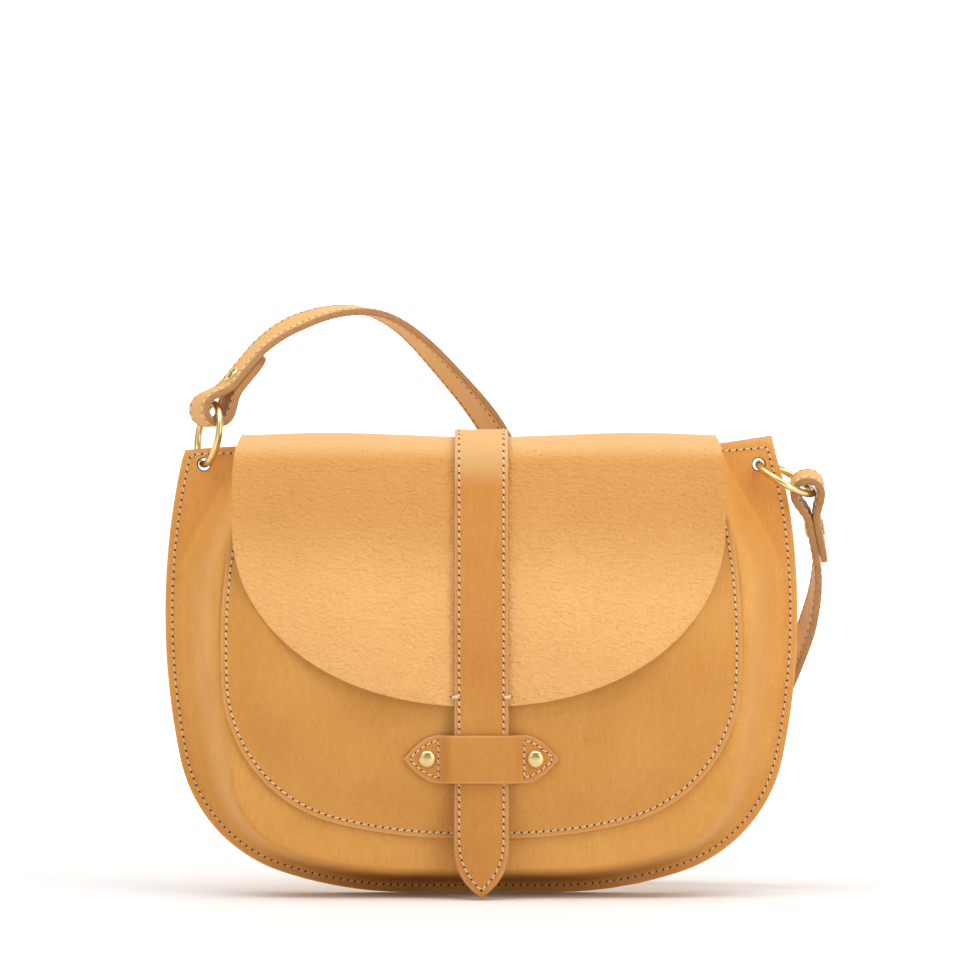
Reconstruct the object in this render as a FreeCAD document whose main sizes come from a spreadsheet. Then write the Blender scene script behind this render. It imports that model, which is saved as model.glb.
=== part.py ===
import FreeCAD, Part
import math
import os

# Saddle handbag: flat back panel, moulded front panel with a patch pocket, folded flap,
# closure strap with a tail under a riveted keeper, and a shoulder strap on two rings.
# Frame: +X to the right, +Y to the back, +Z up. The seam plane is y = 0 and the base is z = 0.

V = FreeCAD.Vector

SIZES = {
    # Leather, fits and cuts
    "panel_thickness": 2.0,
    "seat_gap": 0.3,
    "fold_gap": 0.4,
    "cut_overrun": 5.0,
    # Saddle outline of both body panels
    "body_width": 280.8,
    "body_height": 198.5,
    "widest_height": 124.0,
    "body_draw_in": 8.9,
    "base_length": 64.0,
    "base_radius": 180.0,
    "corner_radius": 68.0,
    # Moulded front
    "bulge_depth": 40.0,
    "bulge_draw_in": 21.4,
    "bulge_base_length": 50.0,
    "bulge_base_radius": 150.0,
    "seam_width": 8.0,
    "shoulder_inset": 24.0,
    "shoulder_lift": 20.0,
    # Facing inside the mouth
    "facing_height": 18.0,
    "facing_thickness": 1.4,
    # Punched holes of the rings
    "ring_hole_inset": 17.2,
    "ring_hole_drop": 8.5,
    "ring_hole_diameter": 6.0,
    # Front pocket
    "pocket_side_inset": 26.4,
    "pocket_widest_height": 110.0,
    "pocket_draw_in": 6.0,
    "pocket_top_height": 168.0,
    "pocket_base_length": 24.0,
    "pocket_base_height": 26.5,
    "pocket_base_radius": 210.0,
    "pocket_corner_radius": 66.0,
    "pocket_thickness": 1.8,
    "pocket_space": 4.8,
    "pocket_seam_width": 5.0,
    # Flap
    "flap_side_inset": 33.4,
    "flap_thickness": 2.2,
    "flap_top_gap": 2.1,
    "flap_front_gap": 0.4,
    "flap_lowest_height": 84.0,
    "flap_shoulder_height": 163.5,
    "flap_rear_height": 168.0,
    "rear_fold_radius": 2.0,
    "front_fold_radius": 8.0,
    # Closure strap and its tail
    "closure_width": 23.4,
    "closure_thickness": 2.4,
    "closure_rear_height": 174.0,
    "tail_tip_height": 2.7,
    "tail_point_length": 17.0,
    "tail_lining_thickness": 1.6,
    "tail_lining_margin": 0.8,
    # Keeper
    "keeper_length": 67.4,
    "keeper_height": 20.8,
    "keeper_straight_length": 38.6,
    "keeper_centre_height": 61.3,
    "keeper_thickness": 2.0,
    "keeper_side_gap": 1.0,
    "keeper_ramp_length": 2.6,
    # Rivets
    "keeper_rivet_spacing": 47.2,
    "rivet_head_diameter": 7.4,
    "rivet_crown_diameter": 5.0,
    "rivet_head_height": 1.7,
    "rivet_shank_diameter": 3.0,
    "rivet_base_thickness": 1.2,
    "rivet_clearance": 0.1,
    # Rings
    "ring_inner_diameter": 24.0,
    "ring_wire_diameter": 3.2,
    # Shoulder strap
    "strap_width": 20.0,
    "strap_thickness": 3.0,
    "strap_loop_radius": 4.95,
    "strap_loop_offset": 2.6,
    "strap_fold_space": 1.4,
    "strap_fold_length": 34.0,
    "strap_pinch_length": 11.0,
    "strap_rivet_distance": 18.0,
    "strap_rivet_flat": 11.0,
    "strap_straight_length": 32.0,
    "strap_back_reach": 79.0,
    "strap_arch_rise": 60.7,
}

# Directions in degrees: how the two rings stand and how the strap leaves them.
RING_LEFT_YAW = 22.0
RING_LEFT_LEAN = 9.0
RING_RIGHT_DIP = 27.5
RING_RIGHT_BACK = 4.0
RING_RIGHT_ROLL = 12.0
STRAP_LEFT_CLIMB = 49.0
STRAP_RIGHT_SPLAY = 11.0
STRAP_RIGHT_BACK = 6.0

# Steps of the moulded shoulder from the seam to the front face.
BULGE_DEPTH_SHARES = (0.0, 0.6, 0.875, 1.0)
BULGE_INSET_SHARES = (0.0, 0.2, 0.5, 1.0)
BULGE_LIFT_SHARES = (0.0, 0.0, 0.25, 1.0)
BULGE_TOP_SHARE = 0.5
BULGE_CORNER_SHARE = 0.6

# Free span of the strap: shares of the half body width, the back reach and the arch height,
# and the yaw in degrees and upward tilt of the strap's width there.
STRAP_ROUTE_SHARES = (
    (-0.595, 0.258, 0.976, 27.0, 0.15),
    (-0.456, 0.387, 1.000, 28.0, 0.11),
    (-0.345, 0.498, 0.997, 30.0, 0.11),
    (-0.230, 0.623, 0.962, 32.0, 0.14),
    (-0.112, 0.766, 0.897, 35.0, 0.08),
    (0.010, 0.905, 0.817, 36.0, 0.0),
    (0.095, 0.975, 0.735, 33.0, 0.0),
    (0.158, 1.000, 0.630, 27.0, 0.0),
    (0.222, 0.985, 0.485, 17.0, 0.0),
    (0.310, 0.925, 0.315, 4.0, 0.0),
    (0.456, 0.800, 0.190, -12.0, 0.0),
    (0.655, 0.633, 0.155, -18.0, 0.0),
    (0.850, 0.430, 0.222, -14.0, 0.1),
    (0.990, 0.270, 0.350, -6.0, 0.2),
    (1.060, 0.165, 0.455, -4.0, 0.25),
)
LOOP_STEPS = 14
SPAN_STEPS = 44

doc = FreeCAD.newDocument("saddle_handbag")
sheet = doc.addObject("Spreadsheet::Sheet", "Sizes")
for row, (alias, value) in enumerate(SIZES.items(), start=1):
    sheet.set(f"A{row}", alias)
    sheet.set(f"B{row}", str(value))
    sheet.setAlias(f"B{row}", alias)
doc.recompute()

subparts = []


def size(alias):
    return float(sheet.get(alias))


def keep(item, label):
    item.Label = label
    subparts.append(item)
    return item


def new_body(label):
    return keep(doc.addObject("PartDesign::Body", label), label)


def sketch_on(body, role, name, curves):
    sketch = body.newObject("Sketcher::SketchObject", name)
    plane = next(item for item in body.Origin.OriginFeatures if item.Role == role)
    sketch.AttachmentSupport = [(plane, "")]
    sketch.MapMode = "FlatFace"
    for curve in curves:
        sketch.addGeometry(curve)
    return sketch


def pad(body, sketch, length, side="One side", backwards=False):
    feature = body.newObject("PartDesign::Pad", sketch.Name + "_pad")
    feature.Profile = sketch
    feature.SideType = side
    feature.Reversed = backwards
    feature.setExpression("Length", length)
    doc.recompute()
    return feature


def pocket(body, sketch, length, side="One side", backwards=False):
    before = body.Shape.Volume
    feature = body.newObject("PartDesign::Pocket", sketch.Name + "_pocket")
    feature.Profile = sketch
    feature.SideType = side
    feature.Reversed = backwards
    feature.setExpression("Length", length)
    doc.recompute()
    if not body.Shape.Volume < before:
        raise RuntimeError(sketch.Name + " cuts nothing")
    return feature


def lines(points):
    """Straight edges through the points and back to the first."""
    return [Part.LineSegment(a, b) for a, b in zip(points, points[1:] + points[:1])]


def unit(vector):
    return vector / vector.Length


def on_arc(centre, radius, degrees):
    angle = math.radians(degrees)
    return centre + V(math.cos(angle), math.sin(angle), 0) * radius


def arc(centre, radius, first, last):
    middle = (first + last) / 2
    return Part.Arc(*[on_arc(centre, radius, degrees) for degrees in (first, middle, last)])


def saddle_half(half_width, widest, draw_in, top, base_half, base, base_radius, corner_radius):
    """Right half of a saddle outline from the top down: three arcs, each tangent to the next."""
    rise = top - widest
    side_radius = (rise ** 2 + draw_in ** 2) / (2 * draw_in)
    side_centre = V(half_width - side_radius, widest, 0)
    base_centre = V(base_half, base + base_radius, 0)
    span = base_centre - side_centre
    to_side = side_radius - corner_radius
    to_base = base_radius - corner_radius
    along = (to_side ** 2 - to_base ** 2 + span.Length ** 2) / (2 * span.Length)
    across = math.sqrt(to_side ** 2 - along ** 2)
    axis = unit(span)
    corner_centre = side_centre + axis * along + V(axis.y, -axis.x, 0) * across
    joints = [V(half_width - draw_in, top, 0)]
    for centre, radius in ((side_centre, side_radius), (base_centre, base_radius)):
        joints.append(centre + unit(corner_centre - centre) * radius)
    joints.append(V(base_half, base, 0))
    arcs = []
    centres = (side_centre, corner_centre, base_centre)
    radii = (side_radius, corner_radius, base_radius)
    for centre, radius, start, end in zip(centres, radii, joints, joints[1:]):
        arcs.append((start, centre + unit(start + end - centre * 2) * radius, end))
    return arcs


def saddle_curves(half, place=V, rise=0):
    """Closed saddle outline. The place function puts its points; rise carries the top edge up."""
    def mirrored(point):
        return V(-point.x, point.y, 0)

    def put(point):
        return place(point.x, point.y, 0)

    top = half[0][0]
    corners = [top]
    if rise:
        corners = [V(top.x, top.y + rise, 0), top]
    path = [mirrored(point) for point in reversed(corners)] + corners
    curves = [Part.LineSegment(put(a), put(b)) for a, b in zip(path, path[1:])]
    curves += [Part.Arc(*[put(point) for point in points]) for points in half]
    base = half[-1][-1]
    curves.append(Part.LineSegment(put(base), put(mirrored(base))))
    for start, middle, end in reversed(half):
        curves.append(Part.Arc(put(mirrored(end)), put(mirrored(middle)), put(mirrored(start))))
    return curves


def body_outline():
    return saddle_half(
        size("body_width") / 2, size("widest_height"), size("body_draw_in"), size("body_height"),
        size("base_length") / 2, 0, size("base_radius"), size("corner_radius"))


def ring_hole_reach():
    return size("body_width") / 2 - size("ring_hole_inset")


def ring_hole_height():
    return size("body_height") - size("ring_hole_drop")


def ring_hole_curves():
    radius = size("ring_hole_diameter") / 2
    centres = [V(side * ring_hole_reach(), ring_hole_height(), 0) for side in (-1, 1)]
    return [Part.Circle(centre, V(0, 0, 1), radius) for centre in centres]


def make_back_panel():
    body = new_body("back_panel")
    pad(body, sketch_on(body, "XZ_Plane", "back_outline", saddle_curves(body_outline())),
        "Sizes.panel_thickness", backwards=True)
    pocket(body, sketch_on(body, "XZ_Plane", "back_ring_holes", ring_hole_curves()),
           "Sizes.panel_thickness")


def bulge_solid(inward, rise=0):
    """The moulded bulge, drawn in by the given wall all round and open upwards by rise."""
    flange = size("seam_width")
    deepest = size("shoulder_inset") - flange
    sections = []
    steps = zip(BULGE_DEPTH_SHARES, BULGE_INSET_SHARES, BULGE_LIFT_SHARES)
    for depth_share, inset_share, lift_share in steps:
        inset = deepest * inset_share
        half = saddle_half(
            size("body_width") / 2 - flange - inset - inward,
            size("widest_height"),
            size("bulge_draw_in") - inset * BULGE_TOP_SHARE,
            size("body_height"),
            size("bulge_base_length") / 2,
            size("shoulder_lift") * lift_share + inward,
            size("bulge_base_radius") - inward,
            size("corner_radius") - (flange + inset) * BULGE_CORNER_SHARE - inward)
        sections.append((-(size("bulge_depth") - inward) * depth_share, half))
    if inward:
        sections.insert(0, (size("cut_overrun"), sections[0][1]))
    wires = []
    for depth, half in sections:
        curves = saddle_curves(half, lambda x, z, _, y=depth: V(x, y, z), rise)
        wires.append(Part.Wire([curve.toShape() for curve in curves]))
    return Part.makeLoft(wires, True, True)


def make_front_panel():
    thickness = size("panel_thickness")
    curves = saddle_curves(body_outline(), lambda x, z, _: V(x, 0, z))
    flange = Part.Face(Part.Wire([curve.toShape() for curve in curves])).extrude(V(0, -thickness, 0))
    shape = flange.fuse(bulge_solid(0)).cut(bulge_solid(thickness, size("cut_overrun")))
    for side in (-1, 1):
        start = V(side * ring_hole_reach(), -thickness - size("cut_overrun"), ring_hole_height())
        length = thickness + 2 * size("cut_overrun")
        shape = shape.cut(Part.makeCylinder(size("ring_hole_diameter") / 2, length, start, V(0, 1, 0)))
    panel = keep(doc.addObject("Part::Feature", "front_panel"), "front_panel")
    panel.Shape = shape.removeSplitter()
    return panel


def make_mouth_facing():
    outside = size("panel_thickness") + size("seat_gap")
    shell = bulge_solid(outside).cut(bulge_solid(outside + size("facing_thickness"), size("cut_overrun")))
    bottom = size("body_height") - size("facing_height")
    slab = Part.makeBox(
        size("body_width"), size("bulge_depth"), size("facing_height"),
        V(-size("body_width") / 2, -size("bulge_depth") - size("panel_thickness"), bottom))
    facing = keep(doc.addObject("Part::Feature", "mouth_facing"), "mouth_facing")
    facing.Shape = shell.common(slab)
    return facing


def pocket_outline(inward):
    return saddle_half(
        size("body_width") / 2 - size("pocket_side_inset") - inward, size("pocket_widest_height"),
        size("pocket_draw_in"), size("pocket_top_height"),
        size("pocket_base_length") / 2, size("pocket_base_height") + inward,
        size("pocket_base_radius") - inward, size("pocket_corner_radius") - inward)


def keeper_rivet_places():
    return [V(side * size("keeper_rivet_spacing") / 2, 0, size("keeper_centre_height")) for side in (-1, 1)]


def rivet_hole_curves():
    radius = size("rivet_shank_diameter") / 2 + size("rivet_clearance")
    return [Part.Circle(V(place.x, place.z, 0), V(0, 0, 1), radius) for place in keeper_rivet_places()]


def make_front_pocket():
    body = new_body("front_pocket")
    body.setExpression("Placement.Base.y", "-Sizes.bulge_depth")
    pad(body, sketch_on(body, "XZ_Plane", "pocket_outline", saddle_curves(pocket_outline(0))),
        "Sizes.pocket_space + Sizes.pocket_thickness")
    inside = saddle_curves(pocket_outline(size("pocket_seam_width")), rise=size("cut_overrun"))
    pocket(body, sketch_on(body, "XZ_Plane", "pocket_inside", inside), "Sizes.pocket_space", backwards=True)
    pocket(body, sketch_on(body, "XZ_Plane", "pocket_rivet_holes", rivet_hole_curves()),
           "Sizes.pocket_space + Sizes.pocket_thickness", backwards=True)


def pocket_face():
    return size("bulge_depth") + size("pocket_space") + size("pocket_thickness")


def fold_values():
    """Planes of the flap's inner face and the centres of its two folds, in (y, z)."""
    rear = size("panel_thickness") + size("seat_gap")
    top = size("body_height") + size("flap_top_gap")
    front = -pocket_face() - size("flap_front_gap")
    rear_centre = V(rear - size("rear_fold_radius"), top - size("rear_fold_radius"), 0)
    front_centre = V(front + size("front_fold_radius"), top - size("front_fold_radius"), 0)
    return rear, top, front, rear_centre, front_centre


def fold_curves(piece, inner, outer, lowest):
    """Side profile of one piece of a folded layer that lies inner to outer off the flap's inner face."""
    rear, top, front, rear_centre, front_centre = fold_values()
    layers = size("flap_thickness") + size("closure_thickness")
    rear_cut = math.degrees(size("fold_gap") / 2 / (size("rear_fold_radius") + layers))
    front_cut = math.degrees(size("fold_gap") / 2 / (size("front_fold_radius") + layers))
    near, far = size("rear_fold_radius") + inner, size("rear_fold_radius") + outer
    low, high = size("front_fold_radius") + inner, size("front_fold_radius") + outer
    if piece == "rear":
        start = 45 - rear_cut
        return [
            arc(rear_centre, far, 0, start),
            Part.LineSegment(on_arc(rear_centre, far, start), on_arc(rear_centre, near, start)),
            arc(rear_centre, near, start, 0),
            Part.LineSegment(on_arc(rear_centre, near, 0), V(rear + inner, lowest, 0)),
            Part.LineSegment(V(rear + inner, lowest, 0), V(rear + outer, lowest, 0)),
            Part.LineSegment(V(rear + outer, lowest, 0), on_arc(rear_centre, far, 0)),
        ]
    if piece == "top":
        start, end = 45 + rear_cut, 135 - front_cut
        return [
            arc(rear_centre, far, start, 90),
            Part.LineSegment(on_arc(rear_centre, far, 90), on_arc(front_centre, high, 90)),
            arc(front_centre, high, 90, end),
            Part.LineSegment(on_arc(front_centre, high, end), on_arc(front_centre, low, end)),
            arc(front_centre, low, end, 90),
            Part.LineSegment(on_arc(front_centre, low, 90), on_arc(rear_centre, near, 90)),
            arc(rear_centre, near, 90, start),
            Part.LineSegment(on_arc(rear_centre, near, start), on_arc(rear_centre, far, start)),
        ]
    start = 135 + front_cut
    return [
        arc(front_centre, high, start, 180),
        Part.LineSegment(on_arc(front_centre, high, 180), V(front - outer, lowest, 0)),
        Part.LineSegment(V(front - outer, lowest, 0), V(front - inner, lowest, 0)),
        Part.LineSegment(V(front - inner, lowest, 0), on_arc(front_centre, low, 180)),
        arc(front_centre, low, 180, start),
        Part.LineSegment(on_arc(front_centre, low, start), on_arc(front_centre, high, start)),
    ]


def make_folded(label, piece, inner, outer, lowest, width):
    body = new_body(label)
    curves = fold_curves(piece, inner, outer, lowest)
    pad(body, sketch_on(body, "YZ_Plane", label + "_profile", curves), width, side="Symmetric")
    return body


def make_flap():
    thickness = size("flap_thickness")
    lowest = {"rear": size("flap_rear_height"), "top": 0, "front": size("flap_lowest_height")}
    width = "Sizes.body_width - 2 * Sizes.flap_side_inset"
    bodies = {}
    for piece, low in lowest.items():
        bodies[piece] = make_folded("flap_" + piece, piece, 0, thickness, low, width)
    half = size("body_width") / 2 - size("flap_side_inset")
    overrun = size("cut_overrun")
    shoulder = size("flap_shoulder_height")
    low = size("flap_lowest_height")
    curve = Part.ArcOfEllipse(Part.Ellipse(V(0, shoulder, 0), half, shoulder - low), math.pi, 2 * math.pi)
    corners = [V(half, shoulder, 0), V(half + overrun, shoulder, 0), V(half + overrun, low - overrun, 0),
               V(-half - overrun, low - overrun, 0), V(-half - overrun, shoulder, 0), V(-half, shoulder, 0)]
    edges = [Part.LineSegment(a, b) for a, b in zip(corners, corners[1:])]
    sketch = sketch_on(bodies["front"], "XZ_Plane", "flap_curve", edges + [curve])
    pocket(bodies["front"], sketch, "2 * (Sizes.bulge_depth + Sizes.pocket_space + Sizes.pocket_thickness"
           " + Sizes.flap_thickness + Sizes.cut_overrun)", side="Symmetric")


def make_closure_strap():
    inner = size("flap_thickness")
    outer = inner + size("closure_thickness")
    lowest = {"rear": size("closure_rear_height"), "top": 0, "front": size("flap_lowest_height")}
    for piece, low in lowest.items():
        make_folded("closure_" + piece, piece, inner, outer, low, "Sizes.closure_width")


def tail_curves(half, upper, tip):
    """Pointed strap end: straight sides, then two arcs that meet at the tip."""
    shoulder = tip + size("tail_point_length")
    radius = (size("tail_point_length") ** 2 + half ** 2) / (2 * half)
    sweep = math.degrees(math.asin(size("tail_point_length") / radius))
    right = V(half - radius, shoulder, 0)
    left = V(radius - half, shoulder, 0)
    return [
        Part.LineSegment(V(-half, upper, 0), V(half, upper, 0)),
        Part.LineSegment(V(half, upper, 0), V(half, shoulder, 0)),
        arc(right, radius, 0, -sweep),
        arc(left, radius, 180 + sweep, 180),
        Part.LineSegment(V(-half, shoulder, 0), V(-half, upper, 0)),
    ]


def make_closure_tail():
    upper = size("flap_lowest_height") - size("fold_gap")
    half = size("closure_width") / 2
    margin = size("tail_lining_margin")
    tail = new_body("closure_tail")
    tail.setExpression("Placement.Base.y", "-(Sizes.bulge_depth + Sizes.pocket_space + Sizes.pocket_thickness"
                       " + Sizes.flap_front_gap + Sizes.flap_thickness)")
    curves = tail_curves(half, upper, size("tail_tip_height") + margin)
    pad(tail, sketch_on(tail, "XZ_Plane", "tail_outline", curves), "Sizes.closure_thickness")
    lining = new_body("closure_tail_lining")
    lining.setExpression("Placement.Base.y", tail.ExpressionEngine[0][1])
    curves = tail_curves(half + margin, upper, size("tail_tip_height"))
    pad(lining, sketch_on(lining, "XZ_Plane", "tail_lining_outline", curves),
        "Sizes.tail_lining_thickness", backwards=True)


def make_keeper():
    seat = -pocket_face()
    thickness = size("keeper_thickness")
    closure_face = seat - size("flap_front_gap") - size("flap_thickness") - size("closure_thickness")
    crown = closure_face - size("seat_gap")
    slot = size("closure_width") / 2 + size("tail_lining_margin") + size("keeper_side_gap")
    ramp = slot + size("keeper_ramp_length")
    tip = size("keeper_length") / 2
    under = [V(-tip, seat, 0), V(-ramp, seat, 0), V(-slot, crown, 0),
             V(slot, crown, 0), V(ramp, seat, 0), V(tip, seat, 0)]
    slope = size("keeper_ramp_length") / (seat - crown)
    lean = thickness * (math.sqrt(1 + slope ** 2) - slope)
    over = [V(tip, seat - thickness, 0), V(ramp + lean, seat - thickness, 0),
            V(slot + lean, crown - thickness, 0), V(-slot - lean, crown - thickness, 0),
            V(-ramp - lean, seat - thickness, 0), V(-tip, seat - thickness, 0)]
    body = new_body("keeper")
    body.setExpression("Placement.Base.z", "Sizes.keeper_centre_height")
    pad(body, sketch_on(body, "XY_Plane", "keeper_bridge", lines(under + over)),
        "Sizes.keeper_height", side="Symmetric")
    half = size("keeper_height") / 2
    start = size("keeper_straight_length") / 2
    reach = tip - start
    radius = (reach ** 2 + half ** 2) / (2 * half)
    sweep = math.degrees(math.asin(reach / radius))
    overrun = size("cut_overrun")
    corners = []
    for side in (-1, 1):
        for upper in (-1, 1):
            middle = 90 - sweep / 2
            centre = V(start, half - radius, 0)
            points = [on_arc(centre, radius, degrees) for degrees in (90, middle, 90 - sweep)]
            outside = [V(tip, 0, 0), V(tip + overrun, 0, 0), V(tip + overrun, half + overrun, 0),
                       V(start, half + overrun, 0), V(start, half, 0)]
            points = [V(point.x * side, point.y * upper, 0) for point in points]
            outside = [V(point.x * side, point.y * upper, 0) for point in outside]
            corners.append(Part.Arc(*points))
            corners += [Part.LineSegment(a, b) for a, b in zip(outside, outside[1:])]
    depth = ("2 * (Sizes.bulge_depth + Sizes.pocket_space + Sizes.pocket_thickness + Sizes.flap_thickness"
             " + Sizes.closure_thickness + Sizes.keeper_thickness + Sizes.cut_overrun)")
    pocket(body, sketch_on(body, "XZ_Plane", "keeper_points", corners), depth, side="Symmetric")
    radius = size("rivet_shank_diameter") / 2 + size("rivet_clearance")
    holes = [Part.Circle(V(place.x, 0, 0), V(0, 0, 1), radius) for place in keeper_rivet_places()]
    pocket(body, sketch_on(body, "XZ_Plane", "keeper_rivet_holes", holes), depth, side="Symmetric")


def add_cone(name, place, turn):
    cone = doc.addObject("Part::Cone", name)
    cone.setExpression("Radius1", "Sizes.rivet_head_diameter / 2")
    cone.setExpression("Radius2", "Sizes.rivet_crown_diameter / 2")
    cone.setExpression("Height", "Sizes.rivet_head_height")
    cone.Placement = FreeCAD.Placement(place, turn)
    return cone


def add_stud(name, place, turn, stack):
    """Shank through a stack of leather, with a flat base under it."""
    shank = doc.addObject("Part::Cylinder", name + "_shank")
    shank.setExpression("Radius", "Sizes.rivet_shank_diameter / 2")
    shank.Height = stack
    shank.Placement = FreeCAD.Placement(place - turn.multVec(V(0, 0, stack)), turn)
    base = doc.addObject("Part::Cylinder", name + "_base")
    base.setExpression("Radius", "Sizes.rivet_head_diameter / 2")
    base.setExpression("Height", "Sizes.rivet_base_thickness")
    down = stack + size("rivet_base_thickness")
    base.Placement = FreeCAD.Placement(place - turn.multVec(V(0, 0, down)), turn)
    stud = doc.addObject("Part::Fuse", name)
    stud.Base = shank
    stud.Tool = base
    return stud


def make_rivets(label, seats):
    """Caps and studs of a set of rivets; a seat is the outer face's point, its direction and the stack."""
    caps = []
    studs = []
    for index, (place, outward, stack) in enumerate(seats):
        turn = FreeCAD.Rotation(V(0, 0, 1), outward)
        caps.append(add_cone(f"{label}_cap_{index}", place, turn))
        studs.append(add_stud(f"{label}_stud_{index}", place, turn, stack))
    for kind, items in (("caps", caps), ("studs", studs)):
        group = keep(doc.addObject("Part::Compound", f"{label}_{kind}"), f"{label}_{kind}")
        group.Links = items


def make_keeper_rivets():
    stack = size("keeper_thickness") + size("pocket_thickness")
    face = -pocket_face() - size("keeper_thickness")
    seats = [(V(place.x, face, place.z), V(0, -1, 0), stack) for place in keeper_rivet_places()]
    make_rivets("keeper_rivet", seats)


def ring_frames():
    """Hole, reach and cross direction of each ring: reach points to its far side, cross lies in its plane."""
    yaw, lean = math.radians(RING_LEFT_YAW), math.radians(RING_LEFT_LEAN)
    heading = V(math.cos(yaw), math.sin(yaw), 0)
    cross_left = V(-math.sin(yaw), math.cos(yaw), 0)
    reach_left = V(0, 0, 1) * math.cos(lean) + heading * math.sin(lean)
    dip, back, roll = (math.radians(angle) for angle in (RING_RIGHT_DIP, RING_RIGHT_BACK, RING_RIGHT_ROLL))
    reach_right = V(math.cos(back) * math.cos(dip), math.sin(back), -math.cos(back) * math.sin(dip))
    level = unit(V(0, 1, 0) - reach_right * reach_right.y)
    cross_right = level * math.cos(roll) + reach_right.cross(level) * math.sin(roll)
    hole = V(ring_hole_reach(), 0, ring_hole_height())
    opposite = V(-hole.x, 0, hole.z)
    return {"left": (opposite, reach_left, cross_left), "right": (hole, reach_right, cross_right)}


def ring_radius():
    return (size("ring_inner_diameter") + size("ring_wire_diameter")) / 2


def make_rings():
    for side, (hole, reach, cross) in ring_frames().items():
        ring = keep(doc.addObject("Part::Torus", "ring_" + side), "ring_" + side)
        ring.setExpression("Radius1", "(Sizes.ring_inner_diameter + Sizes.ring_wire_diameter) / 2")
        ring.setExpression("Radius2", "Sizes.ring_wire_diameter / 2")
        turn = FreeCAD.Rotation(V(0, 0, 1), reach.cross(cross))
        ring.Placement = FreeCAD.Placement(hole + reach * ring_radius(), turn)


def strap_end(side):
    """One folded end: points from the folded tail round the ring to the free span, and its directions."""
    hole, reach, cross = ring_frames()[side]
    centre = hole + reach * (2 * ring_radius() - size("strap_loop_offset"))
    if side == "left":
        heading = V(cross.y, -cross.x, 0)
        climb = math.radians(STRAP_LEFT_CLIMB)
        along = heading * math.cos(climb) + V(0, 0, math.sin(climb))
    else:
        splay, back = math.radians(STRAP_RIGHT_SPLAY), math.radians(STRAP_RIGHT_BACK)
        along = V(math.sin(splay), math.sin(back), -math.cos(splay))
    along = unit(along - cross * along.dot(cross))
    outward = along.cross(cross) if side == "left" else cross.cross(along)
    radius = size("strap_loop_radius") + size("strap_thickness") / 2
    offset = (size("strap_thickness") + size("strap_fold_space")) / 2
    pinch = math.hypot(size("strap_pinch_length"), offset)
    tangent = math.atan2(offset, size("strap_pinch_length")) + math.acos(radius / pinch)
    flat = [size("strap_rivet_distance") + way * size("strap_rivet_flat") / 2 for way in (-1, 1)]
    plan = [(place, -offset) for place in (size("strap_fold_length"), *reversed(flat))]
    plan.append((size("strap_pinch_length"), -offset))
    for step in range(LOOP_STEPS + 1):
        angle = 2 * math.pi - tangent - step / LOOP_STEPS * 2 * (math.pi - tangent)
        plan.append((radius * math.cos(angle), radius * math.sin(angle)))
    plan.append((size("strap_pinch_length"), offset))
    plan += [(place, offset) for place in (*flat, size("strap_straight_length"))]
    points = [centre + along * u + outward * v for u, v in plan]
    return points, cross, centre, along, outward


def between(stations, values, station):
    """Value at a station along the strap, on the straight line between its two neighbours."""
    index = sum(1 for place in stations[1:-1] if place < station)
    share = (station - stations[index]) / (stations[index + 1] - stations[index])
    return values[index] + (values[index + 1] - values[index]) * share


def strap_sections():
    """Centre line and width direction of the strap from one folded end to the other."""
    left, cross_left, *_ = strap_end("left")
    right, cross_right, *_ = strap_end("right")
    arch = size("body_height") + size("strap_arch_rise")
    reach = (size("body_width") / 2, size("strap_back_reach"), arch)
    route = [left[-2], left[-1]]
    widths = [cross_left, cross_left]
    for *shares, yaw, tilt in STRAP_ROUTE_SHARES:
        route.append(V(*[share * length for share, length in zip(shares, reach)]))
        turn = math.radians(yaw)
        widths.append(V(-math.sin(turn), math.cos(turn), tilt))
    route += [right[-1], right[-2]]
    widths += [cross_right, cross_right]
    stations = [0]
    for a, b in zip(route, route[1:]):
        stations.append(stations[-1] + (b - a).Length)
    path = Part.BSplineCurve()
    path.interpolate(Points=route, Parameters=stations)
    first, last = stations[1], stations[-2]
    centres = list(left)
    directions = [cross_left] * len(left)
    for step in range(1, SPAN_STEPS):
        station = first + (last - first) * step / SPAN_STEPS
        centres.append(path.value(station))
        directions.append(between(stations, widths, station))
    centres += list(reversed(right))
    directions += [cross_right] * len(right)
    return centres, directions


def strap_rivet_seats():
    seats = []
    stack = 2 * size("strap_thickness") + size("strap_fold_space")
    for side in ("left", "right"):
        _, _, centre, along, outward = strap_end(side)
        place = centre + along * size("strap_rivet_distance") + outward * (stack / 2)
        seats.append((place, outward, stack))
    return seats


def make_shoulder_strap():
    half_width = size("strap_width") / 2
    half_thickness = size("strap_thickness") / 2
    centres, directions = strap_sections()
    wires = []
    length = 0
    for index, (centre, direction) in enumerate(zip(centres, directions)):
        before = centres[max(index - 1, 0)]
        steps = centres[max(index - 1, 0):index + 2]
        tangent = unit(sum((unit(b - a) for a, b in zip(steps, steps[1:])), V()))
        across = unit(direction - tangent * direction.dot(tangent)) * half_width
        normal = unit(tangent.cross(across)) * half_thickness
        corners = [centre + across + normal, centre - across + normal,
                   centre - across - normal, centre + across - normal]
        wires.append(Part.makePolygon(corners + corners[:1]))
        length += (centre - before).Length
    shape = Part.makeLoft(wires, True, True)
    radius = size("rivet_shank_diameter") / 2 + size("rivet_clearance")
    for place, outward, stack in strap_rivet_seats():
        overrun = size("cut_overrun") / 2
        drill = Part.makeCylinder(radius, stack + 2 * overrun, place + outward * overrun, -outward)
        shape = shape.cut(drill)
    strap = keep(doc.addObject("Part::Feature", "shoulder_strap"), "shoulder_strap")
    strap.Shape = shape
    print(f"strap leather length {length:.0f} mm")
    return strap


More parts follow.
